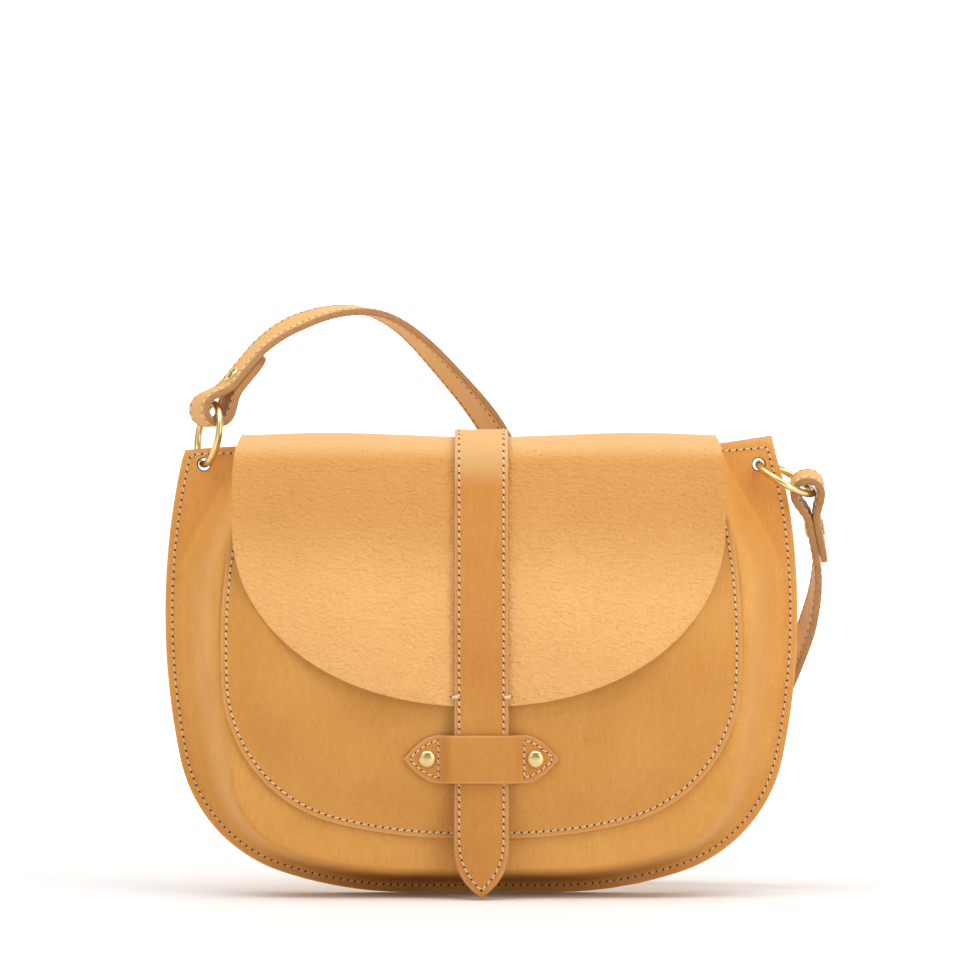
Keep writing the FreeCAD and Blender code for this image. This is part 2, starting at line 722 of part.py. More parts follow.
make_back_panel()
make_front_panel()
make_mouth_facing()
make_front_pocket()
make_flap()
make_closure_strap()
make_closure_tail()
make_keeper()
make_keeper_rivets()
make_rings()
make_shoulder_strap()
make_rivets("strap_rivet", strap_rivet_seats())
doc.recompute()

for item in doc.Objects:
    if "Invalid" in item.State or "Error" in item.State:
        raise RuntimeError(f"{item.Label} failed: {item.State}")
for item in subparts:
    if item.Shape.isNull() or not item.Shape.isValid():
        raise RuntimeError(f"{item.Label} has no valid shape")

os.makedirs("parts", exist_ok=True)
for item in subparts:
    item.Shape.exportStep(f"parts/{item.Label}.step")
    box = item.Shape.BoundBox
    spans = ((box.XMin, box.XMax), (box.YMin, box.YMax), (box.ZMin, box.ZMax))
    count = len(item.Shape.Solids)
    print(item.Label, f"{count} solid(s)", *[f"{low:.1f} to {high:.1f}" for low, high in spans], sep=", ")
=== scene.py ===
# %% [markdown]
# A tan leather saddle handbag: a flat back, a moulded front with a patch pocket, a pebbled flap,
# a closure strap whose tail runs under a riveted keeper, and a shoulder strap on two brass rings.
# The imported CAD model gives the frame. Every piece below is placed in that frame, in metres, and
# most pieces ride on one of its bodies, so the strap still swings; the flap and the closure strap ride on
# none.

# %% Load the frame
import math

import bmesh
import bpy
import numpy as np
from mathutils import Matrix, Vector
from mathutils.bvhtree import BVHTree
from mathutils.kdtree import KDTree


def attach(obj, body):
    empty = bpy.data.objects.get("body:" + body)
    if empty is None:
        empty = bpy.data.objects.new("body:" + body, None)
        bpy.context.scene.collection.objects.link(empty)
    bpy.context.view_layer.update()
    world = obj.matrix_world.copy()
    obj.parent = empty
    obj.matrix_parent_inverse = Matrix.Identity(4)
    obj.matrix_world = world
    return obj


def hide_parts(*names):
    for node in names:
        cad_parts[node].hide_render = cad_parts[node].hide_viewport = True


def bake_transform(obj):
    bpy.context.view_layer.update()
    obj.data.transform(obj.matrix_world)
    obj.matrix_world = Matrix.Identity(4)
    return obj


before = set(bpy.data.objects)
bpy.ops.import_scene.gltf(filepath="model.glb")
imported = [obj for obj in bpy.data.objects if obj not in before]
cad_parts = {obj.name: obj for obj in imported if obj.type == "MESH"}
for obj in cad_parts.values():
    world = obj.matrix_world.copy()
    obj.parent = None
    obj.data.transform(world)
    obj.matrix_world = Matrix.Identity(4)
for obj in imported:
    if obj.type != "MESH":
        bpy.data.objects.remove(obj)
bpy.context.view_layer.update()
MM = 0.001
print("CAD nodes loaded:", len(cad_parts))

# %% [markdown]
# The product picture is taken level, from far away with a long lens, in front of white paper.
# A long lens on a far camera gives the same flat perspective. The paper is a wide floor that
# turns up into a wall far behind the bag through a wide curve, so no horizon shows and a camera
# can go all round the bag. Shapes are drawn in millimetres and turned into metres once, here.

# %% Camera and paper
CAMERA_PLACE = (-0.0006, -2.6, 0.183)
CAMERA_LENS = 219.4
PAPER_HALF, PAPER_WALL, PAPER_HEIGHT = 30000, 7000, 4600
PAPER_CURVE, CURVE_STEPS = 1200, 12
FLOOR_DROP = 0.3

scene = bpy.context.scene
camera = bpy.data.objects.new("camera", bpy.data.cameras.new("camera"))
scene.collection.objects.link(camera)
camera.location = CAMERA_PLACE
camera.rotation_euler = (math.radians(90), 0, 0)
camera.data.lens = CAMERA_LENS
scene.camera = camera


def link_mesh(name, points, faces, finishes=()):
    """New mesh object from points in millimetres."""
    mesh = bpy.data.meshes.new(name)
    mesh.from_pydata([tuple(float(value) * MM for value in point) for point in points], [], faces)
    for finish in finishes:
        mesh.materials.append(finish)
    item = bpy.data.objects.new(name, mesh)
    scene.collection.objects.link(item)
    return item


def paper_sweep():
    bend = PAPER_WALL - PAPER_CURVE
    profile = [(-PAPER_HALF, 0), (bend, 0)]
    for step in range(1, CURVE_STEPS + 1):
        angle = math.radians(90) * step / CURVE_STEPS
        profile.append((bend + PAPER_CURVE * math.sin(angle), PAPER_CURVE * (1 - math.cos(angle))))
    profile.append((PAPER_WALL, PAPER_HEIGHT))
    points = [(side * PAPER_HALF, y, z - FLOOR_DROP) for y, z in profile for side in (-1, 1)]
    faces = [(2 * i, 2 * i + 1, 2 * i + 3, 2 * i + 2) for i in range(len(profile) - 1)]
    sweep = link_mesh("paper_sweep", points, faces)
    sweep.data.shade_smooth()
    return sweep


paper = paper_sweep()
print("camera at", CAMERA_PLACE, "lens", CAMERA_LENS)

# %% [markdown]
# Soft boxes light the bag from above and from both sides, and a white surround fills the
# shadows. The box on the right is the stronger one of the two, so the moulding gets a soft side
# on the left. A weak box behind gives the back and the strap's arch a little light.

# %% Lights
BAG_MIDDLE, BAG_BACK = (0, -0.02, 0.12), (0, 0.1, 0.1)
SOFT_BOXES = (
    ("top_box", (0.0, -0.38, 1.6), BAG_MIDDLE, (2.6, 1.3), 29.5),
    ("left_box", (-1.3, -1.6, 0.9), BAG_MIDDLE, (1.2, 1.2), 5.2),
    ("right_box", (1.5, -1.5, 0.8), BAG_MIDDLE, (1.0, 1.2), 12.8),
    ("back_box", (0.1, 1.0, 1.3), BAG_BACK, (1.0, 0.7), 4.0))
SURROUND = 0.22


def soft_box(name, place, aim, size, power):
    light = bpy.data.lights.new(name, "AREA")
    light.shape = "RECTANGLE"
    light.size, light.size_y = size
    light.energy = power
    item = bpy.data.objects.new(name, light)
    item.location = place
    item.rotation_euler = (Vector(aim) - Vector(place)).to_track_quat("-Z", "Y").to_euler()
    scene.collection.objects.link(item)


for box in SOFT_BOXES:
    soft_box(*box)
world = bpy.data.worlds.new("white_room")
world.use_nodes = True
room = world.node_tree.nodes["Background"]
room.inputs["Color"].default_value = (1, 1, 1, 1)
room.inputs["Strength"].default_value = SURROUND
scene.world = world
scene.view_settings.view_transform = "Standard"

# %% [markdown]
# Finishes are built from shader nodes, and a few helpers keep that short. One feeds a node's
# inputs, either with a link or with a plain value. The others make the nodes used most: sums,
# ranges, noise and mixed colours. A shared effect is a node group with named inputs and outputs.

# %% Node helpers
def feed(tree, item, sockets):
    """Links or sets a node's inputs by name or number."""
    for name, value in sockets.items():
        if isinstance(value, bpy.types.NodeSocket):
            tree.links.new(value, item.inputs[name])
        else:
            item.inputs[name].default_value = value


def node(tree, kind, sockets=None, **settings):
    item = tree.nodes.new(kind)
    for name, value in settings.items():
        setattr(item, name, value)
    feed(tree, item, sockets or {})
    return item


def maths(tree, operation, first, second=0.0, third=0.0):
    item = node(tree, "ShaderNodeMath", {0: first, 1: second, 2: third}, operation=operation)
    return item.outputs[0]


def weighed(tree, *pairs):
    """Sum of values, each times its weight."""
    total = 0.0
    for value, weight in pairs:
        total = maths(tree, "MULTIPLY_ADD", value, weight, total)
    return total


def spread(tree, value, low, high, start=0.0, end=1.0, smooth=True):
    """The value taken from low to high, onto start to end, and held there."""
    kind = "SMOOTHSTEP" if smooth else "LINEAR"
    item = node(tree, "ShaderNodeMapRange", {"Value": value, "From Min": low, "From Max": high,
                                             "To Min": start, "To Max": end}, interpolation_type=kind)
    return item.outputs["Result"]


def noise(tree, place, scale, detail=3.0, stretch=(1, 1, 1)):
    mapped = node(tree, "ShaderNodeMapping", {"Vector": place, "Scale": stretch}).outputs[0]
    item = node(tree, "ShaderNodeTexNoise", {"Vector": mapped, "Scale": scale, "Detail": detail})
    return item.outputs[0]


def mixed(tree, share, first, second, kind="MIX"):
    """Colour between first and second by the share; a colour is a socket or three numbers."""
    pair = [value if isinstance(value, bpy.types.NodeSocket) else (*value, 1) for value in (first, second)]
    item = node(tree, "ShaderNodeMix", {0: share, 6: pair[0], 7: pair[1]}, data_type="RGBA", blend_type=kind)
    return item.outputs[2]


def new_group(name, inputs, outputs):
    tree = bpy.data.node_groups.new(name, "ShaderNodeTree")
    for way, sockets in (("INPUT", inputs), ("OUTPUT", outputs)):
        for label, kind in sockets.items():
            tree.interface.new_socket(label, in_out=way, socket_type="NodeSocket" + kind)
    given = tree.nodes.new("NodeGroupInput")
    return tree, given.outputs, tree.nodes.new("NodeGroupOutput")


print("node helpers ready")

# %% [markdown]
# Vegetable-tanned leather is never one colour. It has broad clouds where the tanning took
# differently, fine upright fibre streaks and specks. This group mixes a pale and a deep tone by
# three noises at those three scales. It reads the "rest" attribute, the point where the leather
# lay before anything moved, so the pattern stays on the hide when the flap lifts.

# %% Shared group: tan tone
CLOUD_SCALE, FIBRE_SCALE, SPECK_SCALE = 26.0, 230.0, 1100.0
FIBRE_STRETCH = (4.0, 4.0, 0.6)
SPECKS = 0.8


def build_tan_tone():
    tree, given, wanted = new_group(
        "tan_tone",
        {"Rest": "Vector", "Pale": "Color", "Deep": "Color", "Clouds": "Float", "Streaks": "Float"},
        {"Colour": "Color", "Cloud": "Float"})
    layers = ((noise(tree, given["Rest"], CLOUD_SCALE, 4.0), given["Clouds"]),
              (noise(tree, given["Rest"], FIBRE_SCALE, 4.0, FIBRE_STRETCH), given["Streaks"]),
              (noise(tree, given["Rest"], SPECK_SCALE, 2.0), SPECKS))
    total = weighed(tree, *[(maths(tree, "SUBTRACT", layer, 0.5), strength) for layer, strength in layers])
    share = spread(tree, total, -0.5, 0.5, smooth=False)
    feed(tree, wanted, {"Colour": mixed(tree, share, given["Deep"], given["Pale"]), "Cloud": share})
    return tree


tan_tone = build_tan_tone()
print("group:", tan_tone.name)

# %% [markdown]
# Grain comes next. Smooth leather has fine pores and faint hair lines. Tumbled leather has short
# creases that run mostly across, and deeper pores. One group makes both as a height, so that a
# Pebble value from 0 to 1 picks the hide, and a Bump node in the material turns the height into
# light and shade.

# %% Shared group: hide grain
DRIFT_SCALE, DRIFT = 180.0, 0.0022
PATCH_SCALE, PORE_SCALE = 60.0, 430.0
HAIR_SCALE, HAIR_STRETCH = 420.0, (3.0, 3.0, 0.8)
FOLD_SCALE, FOLD_STRETCH = 400.0, (1.0, 1.0, 2.0)
FINE_SCALE, FINE_STRETCH = 800.0, (1.0, 1.0, 1.4)


def build_hide_grain():
    tree, given, wanted = new_group("hide_grain", {"Rest": "Vector", "Pebble": "Float"},
                                    {"Height": "Float", "Pits": "Float"})
    rest, pebble = given["Rest"], given["Pebble"]
    drift = node(tree, "ShaderNodeTexNoise", {"Vector": rest, "Scale": DRIFT_SCALE, "Detail": 2.0})
    push = node(tree, "ShaderNodeVectorMath", {0: drift.outputs["Color"], "Scale": DRIFT}, operation="SCALE")
    moved = node(tree, "ShaderNodeVectorMath", {0: rest, 1: push.outputs[0]}, operation="ADD").outputs[0]
    patchy = spread(tree, noise(tree, rest, PATCH_SCALE, 2.0), 0.36, 0.64, 0.75, 1.0)
    pores = node(tree, "ShaderNodeTexVoronoi", {"Vector": rest, "Scale": PORE_SCALE})
    pits = maths(tree, "MULTIPLY", spread(tree, pores.outputs["Distance"], 0.08, 0.26, 1.0, 0.0), patchy)
    hair = noise(tree, rest, HAIR_SCALE, 4.0, HAIR_STRETCH)
    smooth_hide = weighed(tree, (hair, 0.30), (pits, -0.22))
    folds = noise(tree, moved, FOLD_SCALE, 2.0, FOLD_STRETCH)
    fine = noise(tree, moved, FINE_SCALE, 2.0, FINE_STRETCH)
    ridge = maths(tree, "ABSOLUTE", maths(tree, "MULTIPLY_ADD", folds, 2.0, -1.0))
    crease = maths(tree, "MULTIPLY", spread(tree, ridge, 0.0, 0.20, 1.0, 0.0), patchy)
    pebbled_hide = weighed(tree, (folds, 1.6), (fine, 0.55), (crease, -0.08), (pits, -0.25))
    smooth_share = maths(tree, "SUBTRACT", 1.0, pebble)
    # The Pits mask is used to darken the colour in pores and creases, as painted shade in the hollows.
    feed(tree, wanted, {
        "Height": weighed(tree, (pebbled_hide, pebble), (smooth_hide, smooth_share)),
        "Pits": maths(tree, "MULTIPLY_ADD", maths(tree, "MULTIPLY", crease, 0.22), pebble, pits)})
    return tree


hide_grain = build_hide_grain()
print("group:", hide_grain.name)

# %% [markdown]
# Where a piece was cut, its rim is handled most and takes up wax, so a narrow band along it is
# lighter and a little rosy. The "rim" attribute holds each point's distance to the cut in
# millimetres. The group turns it into an uneven mask.

# %% Shared group: handled rim
UNEVEN_SCALE = 160.0


def build_handled_rim():
    tree, given, wanted = new_group("handled_rim", {"Rest": "Vector", "Rim": "Float", "Width": "Float"},
                                    {"Mask": "Float"})
    uneven = spread(tree, noise(tree, given["Rest"], UNEVEN_SCALE), 0.3, 0.7, 0.7, 1.3, smooth=False)
    reach = maths(tree, "MULTIPLY", given["Width"], uneven)
    near = maths(tree, "SUBTRACT", 1.0, maths(tree, "DIVIDE", given["Rim"], reach))
    feed(tree, wanted, {"Mask": spread(tree, near, 0.0, 1.0)})
    return tree


handled_rim = build_handled_rim()
print("group:", handled_rim.name)

# %% [markdown]
# The materials place those groups with their own values. The shader stays in the material, and a
# value that is the same all over is set on the shader itself. Over a fold the hide is pulled
# tight and the flap's pebbles flatten out. The tone turns paler there, partly from the stretched
# hide and partly as a painted highlight of the light from above on the roll.

# %% Leather finishes
RIM_TONE, RIM_WIDTH, RIM_SHARE = (0.78, 0.45, 0.22), 1.1, 0.45
# Paler tone over the folds: partly stretched hide, partly a painted highlight of the top light.
TAUT_AND_SHEEN_TONE, FOLD_SHARE = (0.715, 0.41, 0.165), 0.9
TIGHT_HEIGHTS, TIGHT_PEBBLE = (0.188, 0.200), 0.12
# Painted shade: the flap's colour is darkened from 130 mm up, fully from 172 mm up.
UPPER_SHADE_HEIGHTS, UPPER_SHADE_TINT = (0.130, 0.172), (0.83, 0.73, 0.55)
# Painted shade: the colour darkens in pores and creases.
HOLLOW_SHADE_DARKNESS = 0.72
LEATHER_SPECULAR = 0.32


def new_finish(name):
    finish = bpy.data.materials.new(name)
    finish.use_nodes = True
    tree = finish.node_tree
    return finish, tree, tree.nodes["Principled BSDF"]


def placed(tree, group, **sockets):
    return node(tree, "ShaderNodeGroup", sockets, node_tree=group).outputs


def noted(tree, name, output):
    return node(tree, "ShaderNodeAttribute", attribute_name=name).outputs[output]


def bumped(tree, height, depth, strength=1.0):
    """Normal of a relief whose depth is in millimetres."""
    sockets = {"Height": height, "Strength": strength, "Distance": depth * MM}
    return node(tree, "ShaderNodeBump", sockets).outputs[0]


def leather(name, pale, deep, pebble=False, clouds=1.3, streaks=0.8, rough=(0.58, 0.72), relief=0.12,
            hollow_shade_depth=0.35, worn_rim=True, fold_reach=None):
    finish, tree, shader = new_finish(name)
    rest = noted(tree, "rest", "Vector")
    height = node(tree, "ShaderNodeSeparateXYZ", {0: rest}).outputs["Z"]
    tone = placed(tree, tan_tone, Rest=rest, Pale=(*pale, 1), Deep=(*deep, 1), Clouds=clouds, Streaks=streaks)
    pebbled = spread(tree, height, *TIGHT_HEIGHTS, 1.0, TIGHT_PEBBLE) if pebble else 0.0
    grain = placed(tree, hide_grain, Rest=rest, Pebble=pebbled)
    # Painted shade in the hollows: pores and creases are darkened in colour.
    pits = maths(tree, "MULTIPLY", grain["Pits"], hollow_shade_depth)
    colour = mixed(tree, pits, tone["Colour"], [value * HOLLOW_SHADE_DARKNESS for value in deep])
    # Painted shade over the upper flap, darker from 130 mm up.
    if pebble:
        colour = mixed(tree, spread(tree, height, *UPPER_SHADE_HEIGHTS), colour, UPPER_SHADE_TINT, "MULTIPLY")
    # Paler over the fold: partly the stretched hide, partly a painted highlight on the roll.
    if fold_reach:
        colour = mixed(tree, spread(tree, height, *fold_reach, 0.0, FOLD_SHARE), colour, TAUT_AND_SHEEN_TONE)
    if worn_rim:
        edge = placed(tree, handled_rim, Rest=rest, Rim=noted(tree, "rim", "Fac"), Width=RIM_WIDTH)
        colour = mixed(tree, maths(tree, "MULTIPLY", edge["Mask"], RIM_SHARE), colour, RIM_TONE)
    feed(tree, shader, {
        "Base Color": colour,
        "Roughness": spread(tree, tone["Cloud"], 0.0, 1.0, rough[1], rough[0], smooth=False),
        "Normal": bumped(tree, grain["Height"], relief),
        "Specular IOR Level": LEATHER_SPECULAR})
    return finish


smooth_tan = leather("smooth_tan", (0.76, 0.375, 0.092), (0.63, 0.270, 0.047))
pocket_tan = leather("pocket_tan", (0.69, 0.325, 0.076), (0.575, 0.240, 0.040))
closure_tan = leather("closure_tan", (0.63, 0.278, 0.060), (0.525, 0.200, 0.032), fold_reach=(0.178, 0.194))
strap_tan = leather("strap_tan", (0.765, 0.440, 0.152), (0.645, 0.335, 0.098), streaks=0.5)
pebbled_tan = leather("pebbled_tan", (0.90, 0.494, 0.176), (0.79, 0.404, 0.122), pebble=True, clouds=0.6,
                      streaks=0.2, rough=(0.46, 0.60), relief=0.8, hollow_shade_depth=0.32, worn_rim=False,
                      fold_reach=(0.190, 0.200))
flesh_tan = leather("flesh_tan", (0.72, 0.45, 0.24), (0.58, 0.33, 0.15), streaks=0.3, rough=(0.80, 0.92),
                    relief=0.25, worn_rim=False)
print("leathers:", [finish.name for finish in bpy.data.materials if finish.name.endswith("_tan")])

# %% [markdown]
# A cut edge shows the fibres of the hide in thin layers, rubbed down with wax. Thread is waxed
# linen with a twist. A needle hole is just a dark dimple, painted shade where the hole is. Brass is
# turned and polished, with fine hairlines and a little tarnish in patches, and its colour turns dark
# where its surface turns away from the view, a painted dark reflection.

# %% Edge, thread, hole and brass finishes
def object_place(tree):
    return node(tree, "ShaderNodeTexCoord").outputs["Object"]


def waxed_edge():
    finish, tree, shader = new_finish("waxed_edge")
    rest = noted(tree, "rest", "Vector")
    layers = noise(tree, rest, 380.0, 4.0, (1.0, 3.0, 1.0))
    blot = noise(tree, rest, 90.0, 3.0)
    share = spread(tree, weighed(tree, (layers, 0.6), (blot, 0.4)), 0.3, 0.7, smooth=False)
    feed(tree, shader, {
        "Base Color": mixed(tree, share, (0.325, 0.146, 0.037), (0.455, 0.224, 0.072)),
        "Roughness": spread(tree, blot, 0.3, 0.7, 0.38, 0.55, smooth=False),
        "Normal": bumped(tree, layers, 0.08)})
    return finish


def waxed_thread():
    finish, tree, shader = new_finish("waxed_thread")
    fuzz = noise(tree, object_place(tree), 2600.0, 3.0)
    feed(tree, shader, {
        "Base Color": mixed(tree, fuzz, (0.66, 0.45, 0.27), (0.92, 0.75, 0.54)),
        "Roughness": 0.62,
        "Normal": bumped(tree, fuzz, 0.12)})
    return finish


def painted_hole_shade():
    finish, tree, shader = new_finish("painted_hole_shade")
    # The near-black colour is painted shade of the needle hole, with a little mottle.
    hole_mottle = noise(tree, object_place(tree), 900.0)
    feed(tree, shader, {
        "Base Color": mixed(tree, hole_mottle, (0.045, 0.020, 0.007), (0.140, 0.062, 0.020)),
        "Roughness": 0.9})
    return finish


def turned_brass():
    finish, tree, shader = new_finish("turned_brass")
    place = object_place(tree)
    tarnish = spread(tree, noise(tree, place, 140.0, 4.0), 0.45, 0.72)
    lines = noise(tree, place, 1400.0, 2.0, (1.0, 4.0, 4.0))
    metal = mixed(tree, tarnish, (0.84, 0.66, 0.31), (0.72, 0.52, 0.21))
    # Painted reflection: the brass colour goes dark where the surface turns away from the view.
    dark_grazing_reflection = node(tree, "ShaderNodeLayerWeight", {"Blend": 0.35}).outputs["Facing"]
    feed(tree, shader, {
        "Base Color": mixed(tree, spread(tree, dark_grazing_reflection, 0.45, 0.95), metal, (0.30, 0.19, 0.06)),
        "Roughness": weighed(tree, (lines, 0.10), (tarnish, 0.08), (0.26, 1.0)),
        "Normal": bumped(tree, lines, 0.006, 0.5),
        "Metallic": 1.0})
    return finish


edge_finish, thread_finish, hole_shade_finish, brass_finish = (
    waxed_edge(), waxed_thread(), painted_hole_shade(), turned_brass())
print("finishes:", len(bpy.data.materials))

# %% [markdown]
# A studio lights its white paper apart from the object, so that the ground comes out pure white.
# Here the paper itself glows more and more with the distance from the bag. Close to the bag it
# doesn't, so that the shadow on the floor stays.

# %% Paper finish
GLOW_REACH = (0.35, 1.3)


def plain_paper():
    finish, tree, shader = new_finish("plain_paper")
    place = object_place(tree)
    far = node(tree, "ShaderNodeVectorMath", {0: place}, operation="LENGTH").outputs["Value"]
    feed(tree, shader, {
        "Base Color": mixed(tree, noise(tree, place, 3.0), (0.86, 0.86, 0.86), (0.88, 0.88, 0.88)),
        "Emission Color": mixed(tree, spread(tree, far, *GLOW_REACH), (0, 0, 0), (1, 1, 1)),
        "Emission Strength": 1.0,
        "Roughness": 0.9,
        "Specular IOR Level": 0.1})
    return finish


paper.data.materials.append(plain_paper())
print("paper glows from", GLOW_REACH[0], "to", GLOW_REACH[1], "m")

# %% [markdown]
# Meshes need a few helpers too: one applies a piece's modifiers, so that the final mesh can be
# posed and sewn, one cleans a mesh, and two store and read values at its points. Round things
# such as punches, rings, rivets and stitches are all tubes, which are rows of points round a
# circle.

# %% Mesh helpers
def settle(item):
    """Applies the modifiers and keeps the result as the piece's own mesh."""
    bpy.context.view_layer.update()
    shown = item.evaluated_get(bpy.context.evaluated_depsgraph_get())
    mesh = bpy.data.meshes.new_from_object(shown)
    item.modifiers.clear()
    old = item.data
    item.data = mesh
    bpy.data.meshes.remove(old)
    mesh.name = item.name


def clean(item, merge=0, slivers=0, outward=False):
    """Merges points and drops slivers under a length in millimetres, or turns all faces outwards."""
    work = bmesh.new()
    work.from_mesh(item.data)
    if merge:
        bmesh.ops.remove_doubles(work, verts=work.verts, dist=merge * MM)
    if slivers:
        bmesh.ops.dissolve_degenerate(work, edges=work.edges, dist=slivers * MM)
    if outward:
        bmesh.ops.recalc_face_normals(work, faces=work.faces)
    work.to_mesh(item.data)
    work.free()


def note_points(item, name, kind, values):
    """Stores one value or vector for each point of the mesh."""
    key = "vector" if kind == "FLOAT_VECTOR" else "value"
    note = item.data.attributes.new(name, kind, "POINT")
    note.data.foreach_set(key, np.asarray(values, np.float32).ravel())


def points_of(item):
    places = np.zeros(len(item.data.vertices) * 3, np.float32)
    item.data.vertices.foreach_get("co", places)
    return places.reshape(-1, 3)


def circle(count):
    """Cosine and sine at equal steps round a full turn."""
    return [(math.cos(turn), math.sin(turn)) for turn in 2 * math.pi * np.arange(count) / count]


def tube_faces(rows, sides, first=0, turn_back=False, capped=False, closed=False):
    """Faces between rows of points round a tube, from its first point on; closed makes a ring of it."""
    faces = []
    for row in range(rows if closed else rows - 1):
        a, b = first + row * sides, first + (row + 1) % rows * sides
        for i in range(sides):
            j = (i + 1) % sides
            faces.append((a + j, a + i, b + i, b + j) if turn_back else (a + i, a + j, b + j, b + i))
    if capped:
        start = tuple(range(first, first + sides))
        end = tuple(range(first + (rows - 1) * sides, first + rows * sides))
        faces += [start, end[::-1]] if turn_back else [start[::-1], end]
    return faces


print("mesh helpers ready")

# %% [markdown]
# Two jobs come first. The distance from each point of a sheet to its open rim is noted, for the
# worn band along a cut. A ring hole is punched through with a round tool, and its wall takes the
# edge finish.

# %% Rim and punch
PUNCH_SIDES, PUNCH_REACH = 40, 12


def note_rim(item):
    """Distance of every point to the sheet's open rim, in millimetres."""
    work = bmesh.new()
    work.from_mesh(item.data)
    rim = []
    for edge in work.edges:
        if edge.is_boundary:
            start, end = (point.co for point in edge.verts)
            rim += [start.lerp(end, share) for share in (0, 0.33, 0.67)]
    tree = KDTree(len(rim))
    for index, place in enumerate(rim):
        tree.insert(place, index)
    tree.balance()
    values = [tree.find(point.co)[2] / MM for point in work.verts]
    work.free()
    note_points(item, "rim", "FLOAT", values)


def punch(item, hole):
    """Cuts a round hole along Y; hole is (x, z, radius) in millimetres."""
    x, z, radius = hole
    points = [(x + radius * across, y, z + radius * up)
              for y in (-PUNCH_REACH, PUNCH_REACH) for across, up in circle(PUNCH_SIDES)]
    faces = tube_faces(2, PUNCH_SIDES, capped=True)
    tool = link_mesh("punch", points, faces, (smooth_tan, flesh_tan, edge_finish))
    tool.data.polygons.foreach_set("material_index", [2] * len(faces))
    clean(tool, outward=True)
    cut = item.modifiers.new("punched", "BOOLEAN")
    cut.operation = "DIFFERENCE"
    cut.solver = "EXACT"
    cut.object = tool
    settle(item)
    bpy.data.objects.remove(tool)


print("rim and punch ready")

# %% [markdown]
# Every leather piece starts as one curved sheet of points, its grain side. The Solidify modifier
# gives it the hide's thickness with its own finish for the flesh side and for the cut edge, and a
# small bevel rounds the cut.

# %% Leather sheet maker
MERGE, SLIVERS = 0.02, 0.005


def leather_sheet(name, grid, thickness, grain, flip=False, rounding=0.4, holes=()):
    """Sheet from rows of points in millimetres, thickened away from its grain side."""
    grid = np.asarray(grid, float)
    rows, columns = grid.shape[:2]
    faces = []
    for row in range(rows - 1):
        for column in range(columns - 1):
            corner = row * columns + column
            face = (corner, corner + 1, corner + columns + 1, corner + columns)
            faces.append(face[::-1] if flip else face)
    item = link_mesh(name, grid.reshape(-1, 3), faces, (grain, flesh_tan, edge_finish))
    clean(item, merge=MERGE, slivers=SLIVERS)
    note_rim(item)
    body = item.modifiers.new("hide", "SOLIDIFY")
    body.thickness = thickness * MM
    body.offset = -1
    body.use_even_offset = True
    body.material_offset, body.material_offset_rim = 1, 2
    cut = item.modifiers.new("rubbed", "BEVEL")
    cut.width = rounding * MM
    cut.segments = 2
    cut.limit_method = "ANGLE"
    cut.angle_limit = math.radians(50)
    settle(item)
    for hole in holes:
        punch(item, hole)
    item.data.shade_smooth()
    if holes:
        item.data.set_sharp_from_angle(angle=math.radians(70))
    note_points(item, "rest", "FLOAT_VECTOR", points_of(item))
    return item


print("sheet maker ready")

# %% [markdown]
# The body, the moulding and the pocket share one kind of outline, a saddle shape: a slow arc down
# each side, a tight corner and a slow arc along the base, each tangent to the next. With the same
# number of steps on each arc, outlines of different sizes line up point by point, and a moulded
# shape is a loft between them.

# %% Saddle outline
ARC_STEPS, BASE_STEPS = (22, 30, 16), 8


def units(vectors):
    """Rows of vectors, each made one long."""
    return vectors / np.linalg.norm(vectors, axis=1)[:, None]


def heading(start, end):
    return math.atan2(end[1] - start[1], end[0] - start[0])


def saddle(half_width, widest, draw_in, top, base_half, base, base_radius, corner_radius):
    """Outline in (x, z) from the left top corner down, along the base and up to the right top corner."""
    rise = top - widest
    side_radius = (rise ** 2 + draw_in ** 2) / (2 * draw_in)
    side = np.array((half_width - side_radius, widest))
    foot = np.array((base_half, base + base_radius))
    span = foot - side
    length = np.hypot(*span)
    to_side, to_base = side_radius - corner_radius, base_radius - corner_radius
    along = (to_side ** 2 - to_base ** 2 + length ** 2) / (2 * length)
    across = math.sqrt(to_side ** 2 - along ** 2)
    axis = span / length
    corner = side + axis * along + np.array((axis[1], -axis[0])) * across
    turns = (heading(side, (half_width - draw_in, top)), heading(side, corner), heading(foot, corner),
             -math.pi / 2)
    path = []
    for centre, radius, start, end, steps in zip(
            (side, corner, foot), (side_radius, corner_radius, base_radius), turns, turns[1:], ARC_STEPS):
        for step in range(steps):
            angle = start + (end - start) * step / steps
            path.append(centre + radius * np.array((math.cos(angle), math.sin(angle))))
    path += [np.array((base_half * (1 - step / BASE_STEPS), base)) for step in range(BASE_STEPS + 1)]
    right = np.array(path)
    left = right[:-1] * (-1, 1)
    return np.vstack([left, right[::-1]])


BODY = dict(half_width=140.4, widest=124, draw_in=8.9, top=198.5, base_half=32, base=0, base_radius=180,
            corner_radius=68)
body_outline = saddle(**BODY)
print("outline points:", len(body_outline))

# %% [markdown]
# No bag is quite even. The right top corner is drawn in and curls up a little, and the left one
# hangs a little lower, so both panels get the same small shift there.

# %% Uneven corners
RIGHT_DRAW, RIGHT_LIFT, LEFT_LIFT = -2.6, 4.2, -2.0


def corner_draw(x, z):
    return RIGHT_DRAW * np.clip((z - 165) / 33.5, 0, 1) ** 2 * np.clip(x / 131.5, 0, 1) ** 4


def corner_lift(x, z):
    share = np.clip((np.abs(x) - 88) / 42, 0, 1) ** 2 * np.clip((z - 191) / 7.5, 0, 1)
    return np.where(x > 0, RIGHT_LIFT, LEFT_LIFT) * share


print("corner of the outline moves by", corner_draw(*body_outline[-1]), float(corner_lift(*body_outline[-1])))

